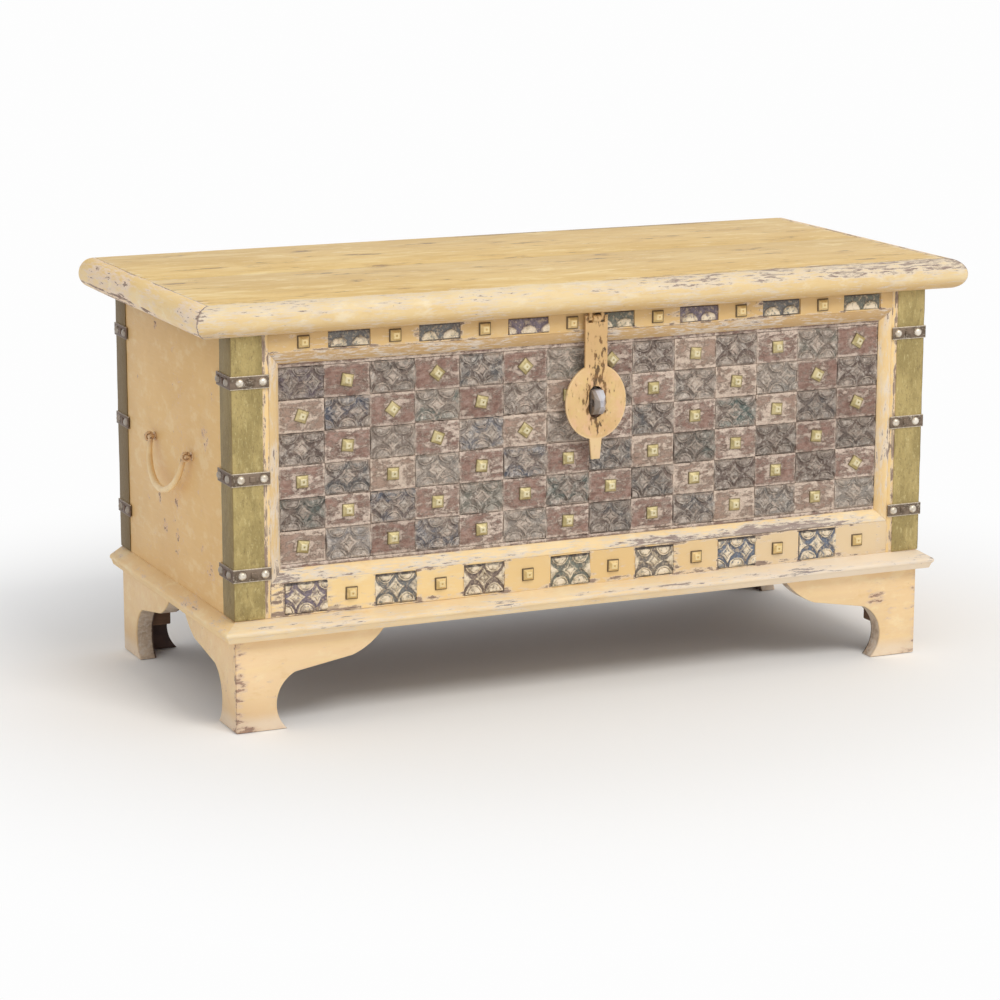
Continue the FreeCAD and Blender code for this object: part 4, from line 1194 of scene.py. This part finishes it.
def roughen(piece, base):
    # uneven cutting, while the plate at the bottom stays flat
    for vertex in piece.data.vertices:
        push = noise.noise_vector(vertex.co * 120) * 1.3 + noise.noise_vector(vertex.co * 400) * 0.8
        push.y *= min(1, max(0, base - 0.0004 - vertex.co.y) / 0.001)
        vertex.co += push * tile["rough"]
    piece.data.update()


def dyeTile(piece, colour):
    layer = piece.data.attributes.new("dye", "FLOAT_COLOR", "POINT")
    for item in layer.data:
        item.color = (*tone(colour), 1)


def carvedRows(name, rows, material, nodeName):
    rng = random.Random(tile["seed"])
    models = {}
    tiles = []
    for row in rows:
        kind = rowKind(row)
        for column in range(front["columns"]):
            if not isCarved(row, column):
                continue
            shifted = (row, column) in tile["shifted"]
            key = (kind, shifted)
            if key not in models:
                wide = front["cellX"] - tile["seam"] if kind == "panel" else tileWide
                models[key] = carvedTile("tile", wide, tileHigh[kind], kind != "topRail", shifted)
            x, z = cellMiddle(row, column)
            x += rng.uniform(-tile["jogX"], tile["jogX"])
            z += rng.uniform(-tile["jogZ"], tile["jogZ"])
            turn = rng.uniform(-tile["turn"], tile["turn"])
            base = faceOf(row) + tile["rise"]
            copy = copyTo(models[key], turnedAt((x, base, z), turn))
            roughen(copy, base)
            common = rng.choice(tile["commonDyes"])
            dyeTile(copy, dyes[dyed.get((row, column), common)])
            tiles.append(copy)
    for model in models.values():
        remove(model)
    piece = joinAll(name, tiles)
    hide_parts(nodeName)
    return finishPiece(piece, material, "trunk")


print("carved tiles")
carvedRows("carved_panel_tiles", range(1, front["rows"] + 1), carvedTone, "carved_tiles_panel")
carvedRows("carved_rail_tiles", (0, front["rows"] + 1), railTone, "carved_tiles_rails")


stud = {
    "half": 0.0067, "edge": 0.0012, "top": 0.0028, "high": 0.0054, "pit": 0.0011, "pitDeep": 0.0012,
    "rim": 0.0005, "seat": 0.0002, "pitIn": 0.7, "bevel": 0.0003, "sway": 1.5, "seed": 3,
    "turns": {  # degrees
        (1, 1): 12, (1, 3): 40, (1, 5): 45, (1, 7): 45, (1, 9): 5, (1, 13): 32, (2, 0): 20, (2, 2): 40, (2, 4): 14,
        (2, 10): 6, (2, 12): 28, (3, 1): 6, (3, 3): 22, (3, 5): 36, (3, 11): 4, (3, 13): 24, (4, 4): 5, (4, 12): 7,
        (5, 13): 34, (6, 0): 8, (6, 6): 4,
    },
}


def pyramidStud():
    half = stud["half"]
    piece = addBlock("stud", (-half, -stud["edge"], -half), (half, stud["seat"], half))
    startEdit(piece)
    selectFaces(piece, lambda middle, normal: normal.y < -0.9)
    bpy.ops.mesh.inset(thickness=stud["rim"], depth=0)
    bpy.ops.mesh.extrude_region_move(TRANSFORM_OT_translate={"value": (0, stud["edge"] - stud["high"], 0)})
    shrink = stud["top"] / (half - stud["rim"])
    bpy.ops.transform.resize(value=(shrink, 1, shrink), center_override=(0, 0, 0))
    bpy.ops.mesh.inset(thickness=stud["top"] - stud["pit"], depth=0)
    bpy.ops.mesh.extrude_region_move(TRANSFORM_OT_translate={"value": (0, stud["pitDeep"], 0)})
    bpy.ops.transform.resize(value=(stud["pitIn"], 1, stud["pitIn"]), center_override=(0, 0, 0))
    endEdit()
    softEdges(piece, stud["bevel"], 2, 20)
    smooth(piece, 30)
    return piece


def studRows(name, rows, material, nodeName):
    model = pyramidStud()
    studs = []
    rng = random.Random(stud["seed"])
    for row in rows:
        for column in range(front["columns"]):
            if isCarved(row, column):
                continue
            x, z = cellMiddle(row, column)
            turn = stud["turns"].get((row, column), 0) + rng.uniform(-stud["sway"], stud["sway"])
            studs.append(copyTo(model, turnedAt((x, faceOf(row), z), math.radians(turn))))
    remove(model)
    piece = joinAll(name, studs)
    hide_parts(nodeName)
    return finishPiece(piece, material, "trunk")


print("studs")
studRows("panel_pyramids", range(1, front["rows"] + 1), studTone, "panel_studs")
studRows("rail_pyramids", (0, front["rows"] + 1), railStudTone, "rail_studs")


nail = {
    "radius": 0.0045, "high": 0.0031, "near": 0.008, "far": 0.033, "boss": 0.0032, "bossHigh": 0.0016,
    "bossAt": 0.0205, "bossIn": 0.0009, "bossSunk": 0.0003, "bossEdge": 0.0003,
    "skin": 0.0025, "heights": (0.168, 0.2685, 0.369),
}


def nailHead():
    piece = add("uv_sphere", "nailHead", segments=14, ring_count=8, radius=nail["radius"])
    startEdit(piece)
    bpy.ops.mesh.bisect(plane_co=(0, 0, 0), plane_no=(0, 0, 1), clear_inner=True, use_fill=True)
    bpy.ops.mesh.select_all(action="SELECT")
    bpy.ops.transform.resize(value=(1, 1, nail["high"] / nail["radius"]), center_override=(0, 0, 0))
    endEdit()
    smooth(piece, 50)
    return piece


def strapBoss():
    half = nail["boss"]
    piece = addBlock("boss", (-half, -half, -nail["bossSunk"]), (half, half, nail["bossHigh"] * 0.5))
    startEdit(piece)
    selectFaces(piece, lambda middle, normal: normal.z > 0.9)
    bpy.ops.mesh.inset(thickness=nail["bossIn"], depth=0)
    bpy.ops.transform.translate(value=(0, 0, nail["bossHigh"] * 0.5))
    endEdit()
    softEdges(piece, nail["bossEdge"])
    smooth(piece, 30)
    return piece


def strapNails():
    head = nailHead()
    boss = strapBoss()
    heads = []
    bosses = []
    skin = nail["skin"]
    seats = ((nail["near"], head, heads), (nail["far"], head, heads), (nail["bossAt"], boss, bosses))
    for end in (-1, 1):
        for face, inward in ((front["bodyFront"], 1), (front["bodyBack"], -1)):
            for z in nail["heights"]:
                for reach, model, found in seats:
                    onFace = (end * (front["bodyHalf"] - reach), face - inward * skin, z)
                    onEnd = (end * (front["bodyHalf"] + skin), face + inward * reach, z)
                    found.append(copyTo(model, seatedAt(onFace, (0, -inward, 0))))
                    found.append(copyTo(model, seatedAt(onEnd, (end, 0, 0))))
    remove(head)
    remove(boss)
    nails = joinAll("strap_nail_domes", heads)
    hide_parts("strap_nails")
    finishPiece(nails, nailTone, "trunk")
    finishPiece(joinAll("strap_bosses", bosses), strapTone, "trunk")


print("nails")
strapNails()


handle = {
    "x": 0.414, "middle": 0.00635, "z": 0.270, "reach": 0.0555, "drop": 0.046, "lean": 10, "thick": 0.0039,
    "thin": 0.0025, "pin": 0.0025, "pinLong": 0.0115, "eyeAt": 0.0615, "ring": 0.0042, "wire": 0.0016, "steps": 40,
    "taper": 0.8, "knuckle": 1.25, "pinEdge": 0.0007, "ringLong": 1.25,
    "stem": 0.0021, "stemSunk": 0.004, "stemLap": 0.0006,
    "washer": 0.0046, "washerThick": 0.0012, "washerOut": 0.0005, "washerEdge": 0.0004,
}


def bail(name, end):
    x = end * handle["x"]
    piece = add("circle", name, vertices=14, radius=handle["thick"], fill_type="NOTHING",
                location=(x, handle["middle"] - handle["reach"], handle["z"]))
    startEdit(piece)
    bpy.ops.mesh.spin(steps=handle["steps"], angle=-math.pi, center=(x, handle["middle"], handle["z"]), axis=(1, 0, 0))
    endEdit()
    for vertex in piece.data.vertices:
        y = vertex.co.y - handle["middle"]
        z = handle["z"] - vertex.co.z
        angle = math.atan2(max(z, 0), -y)
        ringY, ringZ = -math.cos(angle) * handle["reach"], math.sin(angle) * handle["reach"]
        size = handle["thin"] + (handle["thick"] - handle["thin"]) * math.sin(angle) ** handle["taper"]
        size = size / handle["thick"]
        vertex.co.x = x + (vertex.co.x - x) * size
        vertex.co.y = handle["middle"] + ringY + (y - ringY) * size
        vertex.co.z = handle["z"] - (ringZ * handle["drop"] / handle["reach"] + (z - ringZ) * size)
    lean = Matrix.Rotation(-end * math.radians(handle["lean"]), 4, "Y")
    piece.data.transform(Matrix.Translation((x, 0, handle["z"])) @ lean @ Matrix.Translation((-x, 0, -handle["z"])))
    startEdit(piece)
    bpy.ops.mesh.remove_doubles(threshold=0.00001)
    bpy.ops.mesh.region_to_loop()
    bpy.ops.mesh.edge_face_add()
    bpy.ops.mesh.select_all(action="SELECT")
    bpy.ops.mesh.normals_make_consistent(inside=False)
    endEdit()
    ends = [piece]
    for side in (-1, 1):
        y = handle["middle"] + side * handle["reach"]
        knuckle = add("uv_sphere", "knuckle", segments=14, ring_count=8, radius=handle["thin"] * handle["knuckle"],
                      location=(x, y, handle["z"]))
        pin = add("cylinder", "pin", vertices=14, radius=handle["pin"], depth=handle["pinLong"],
                  location=(x, y + side * handle["pinLong"] / 2, handle["z"]), rotation=(math.pi / 2, 0, 0))
        softEdges(pin, handle["pinEdge"], 3)
        ends += [knuckle, pin]
    piece = joinAll(name, ends)
    smooth(piece, 45)
    return piece


def ringEyes():
    eyes = []
    for end in (-1, 1):
        for side in (-1, 1):
            y = handle["middle"] + side * handle["eyeAt"]
            ring = add("torus", "ring", (1, 1, handle["ringLong"]), major_radius=handle["ring"],
                       minor_radius=handle["wire"], major_segments=24, minor_segments=10,
                       location=(end * handle["x"], y, handle["z"]), rotation=(math.pi / 2, 0, 0))
            inner = front["bodyHalf"] - handle["stemSunk"]
            outer = handle["x"] - handle["ring"] + handle["stemLap"]
            stem = add("cylinder", "stem", vertices=12, radius=handle["stem"], depth=outer - inner,
                       location=(end * (outer + inner) / 2, y, handle["z"]), rotation=(0, math.pi / 2, 0))
            washerX = end * (front["bodyHalf"] + handle["washerOut"])
            washer = add("cylinder", "washer", vertices=16, radius=handle["washer"], depth=handle["washerThick"],
                         location=(washerX, y, handle["z"]), rotation=(0, math.pi / 2, 0))
            softEdges(washer, handle["washerEdge"])
            eyes += [ring, stem, washer]
    piece = joinAll("handle_ring_eyes", eyes)
    smooth(piece, 45)
    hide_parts("handle_eyes")
    return finishPiece(piece, handleTone, "trunk")


print("handles")
for end, side in ((-1, "left"), (1, "right")):
    made = bail("bail_" + side, end)
    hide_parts("handle_bail_" + side)
    finishPiece(made, handleTone, "handle_" + side)
ringEyes()


def seenRays(nodes):
    # 1 for the rays that show the backdrop, straight or mirrored
    rays = nodes.node("LightPath", out="Is Camera Ray")
    return rays.most(rays.other("Is Glossy Ray")).most(rays.other("Is Transmission Ray"))


def studio():
    floor = add("plane", "floor", size=light["floorSize"], location=(0, 0, light["floorLow"]))
    f = Finish("floorPale")
    f.set(Base_Color=(light["floorTone"],) * 3, Roughness=0.9, Specular_IOR_Level=0.1)
    away = f.node("VectorMath", {"operation": "LENGTH"}, {0: f.place}, "Value")
    seen = seenRays(f) * f.step(away, light["fadeFrom"], light["fadeTo"])
    white = f.node("Emission", {}, {"Color": (1, 1, 1), "Strength": light["floorSeen"]}, "Emission")
    lit = Value(f, f.shader.outputs["BSDF"])
    both = f.node("MixShader", {}, {0: seen, 1: lit, 2: white}, "Shader")
    f.feed(f.tree.nodes["Material Output"].inputs["Surface"], both)
    floor.data.materials.append(f.material)
    world = bpy.data.worlds.new("studio")
    world.use_nodes = True
    bpy.context.scene.world = world
    sky = Nodes(world.node_tree)
    levels = {"Value": seenRays(sky), "To Min": light["world"], "To Max": light["worldSeen"]}
    back = sky.tree.nodes["Background"]
    sky.feed(back.inputs["Strength"], sky.node("MapRange", {}, levels))
    sky.feed(back.inputs["Color"], (1, 1, 1))
    lampData = bpy.data.lights.new("key", "AREA")
    lampData.size = light["keySize"]
    lampData.energy = light["keyPower"]
    lampData.color = light["keyTint"]
    lamp = bpy.data.objects.new("key", lampData)
    bpy.context.scene.collection.objects.link(lamp)
    lamp.location = light["keyPlace"]
    lamp.rotation_mode = "QUATERNION"
    lamp.rotation_quaternion = (Vector(light["keyAim"]) - lamp.location).to_track_quat("-Z", "Y")


print("light and camera")
studio()
setView()
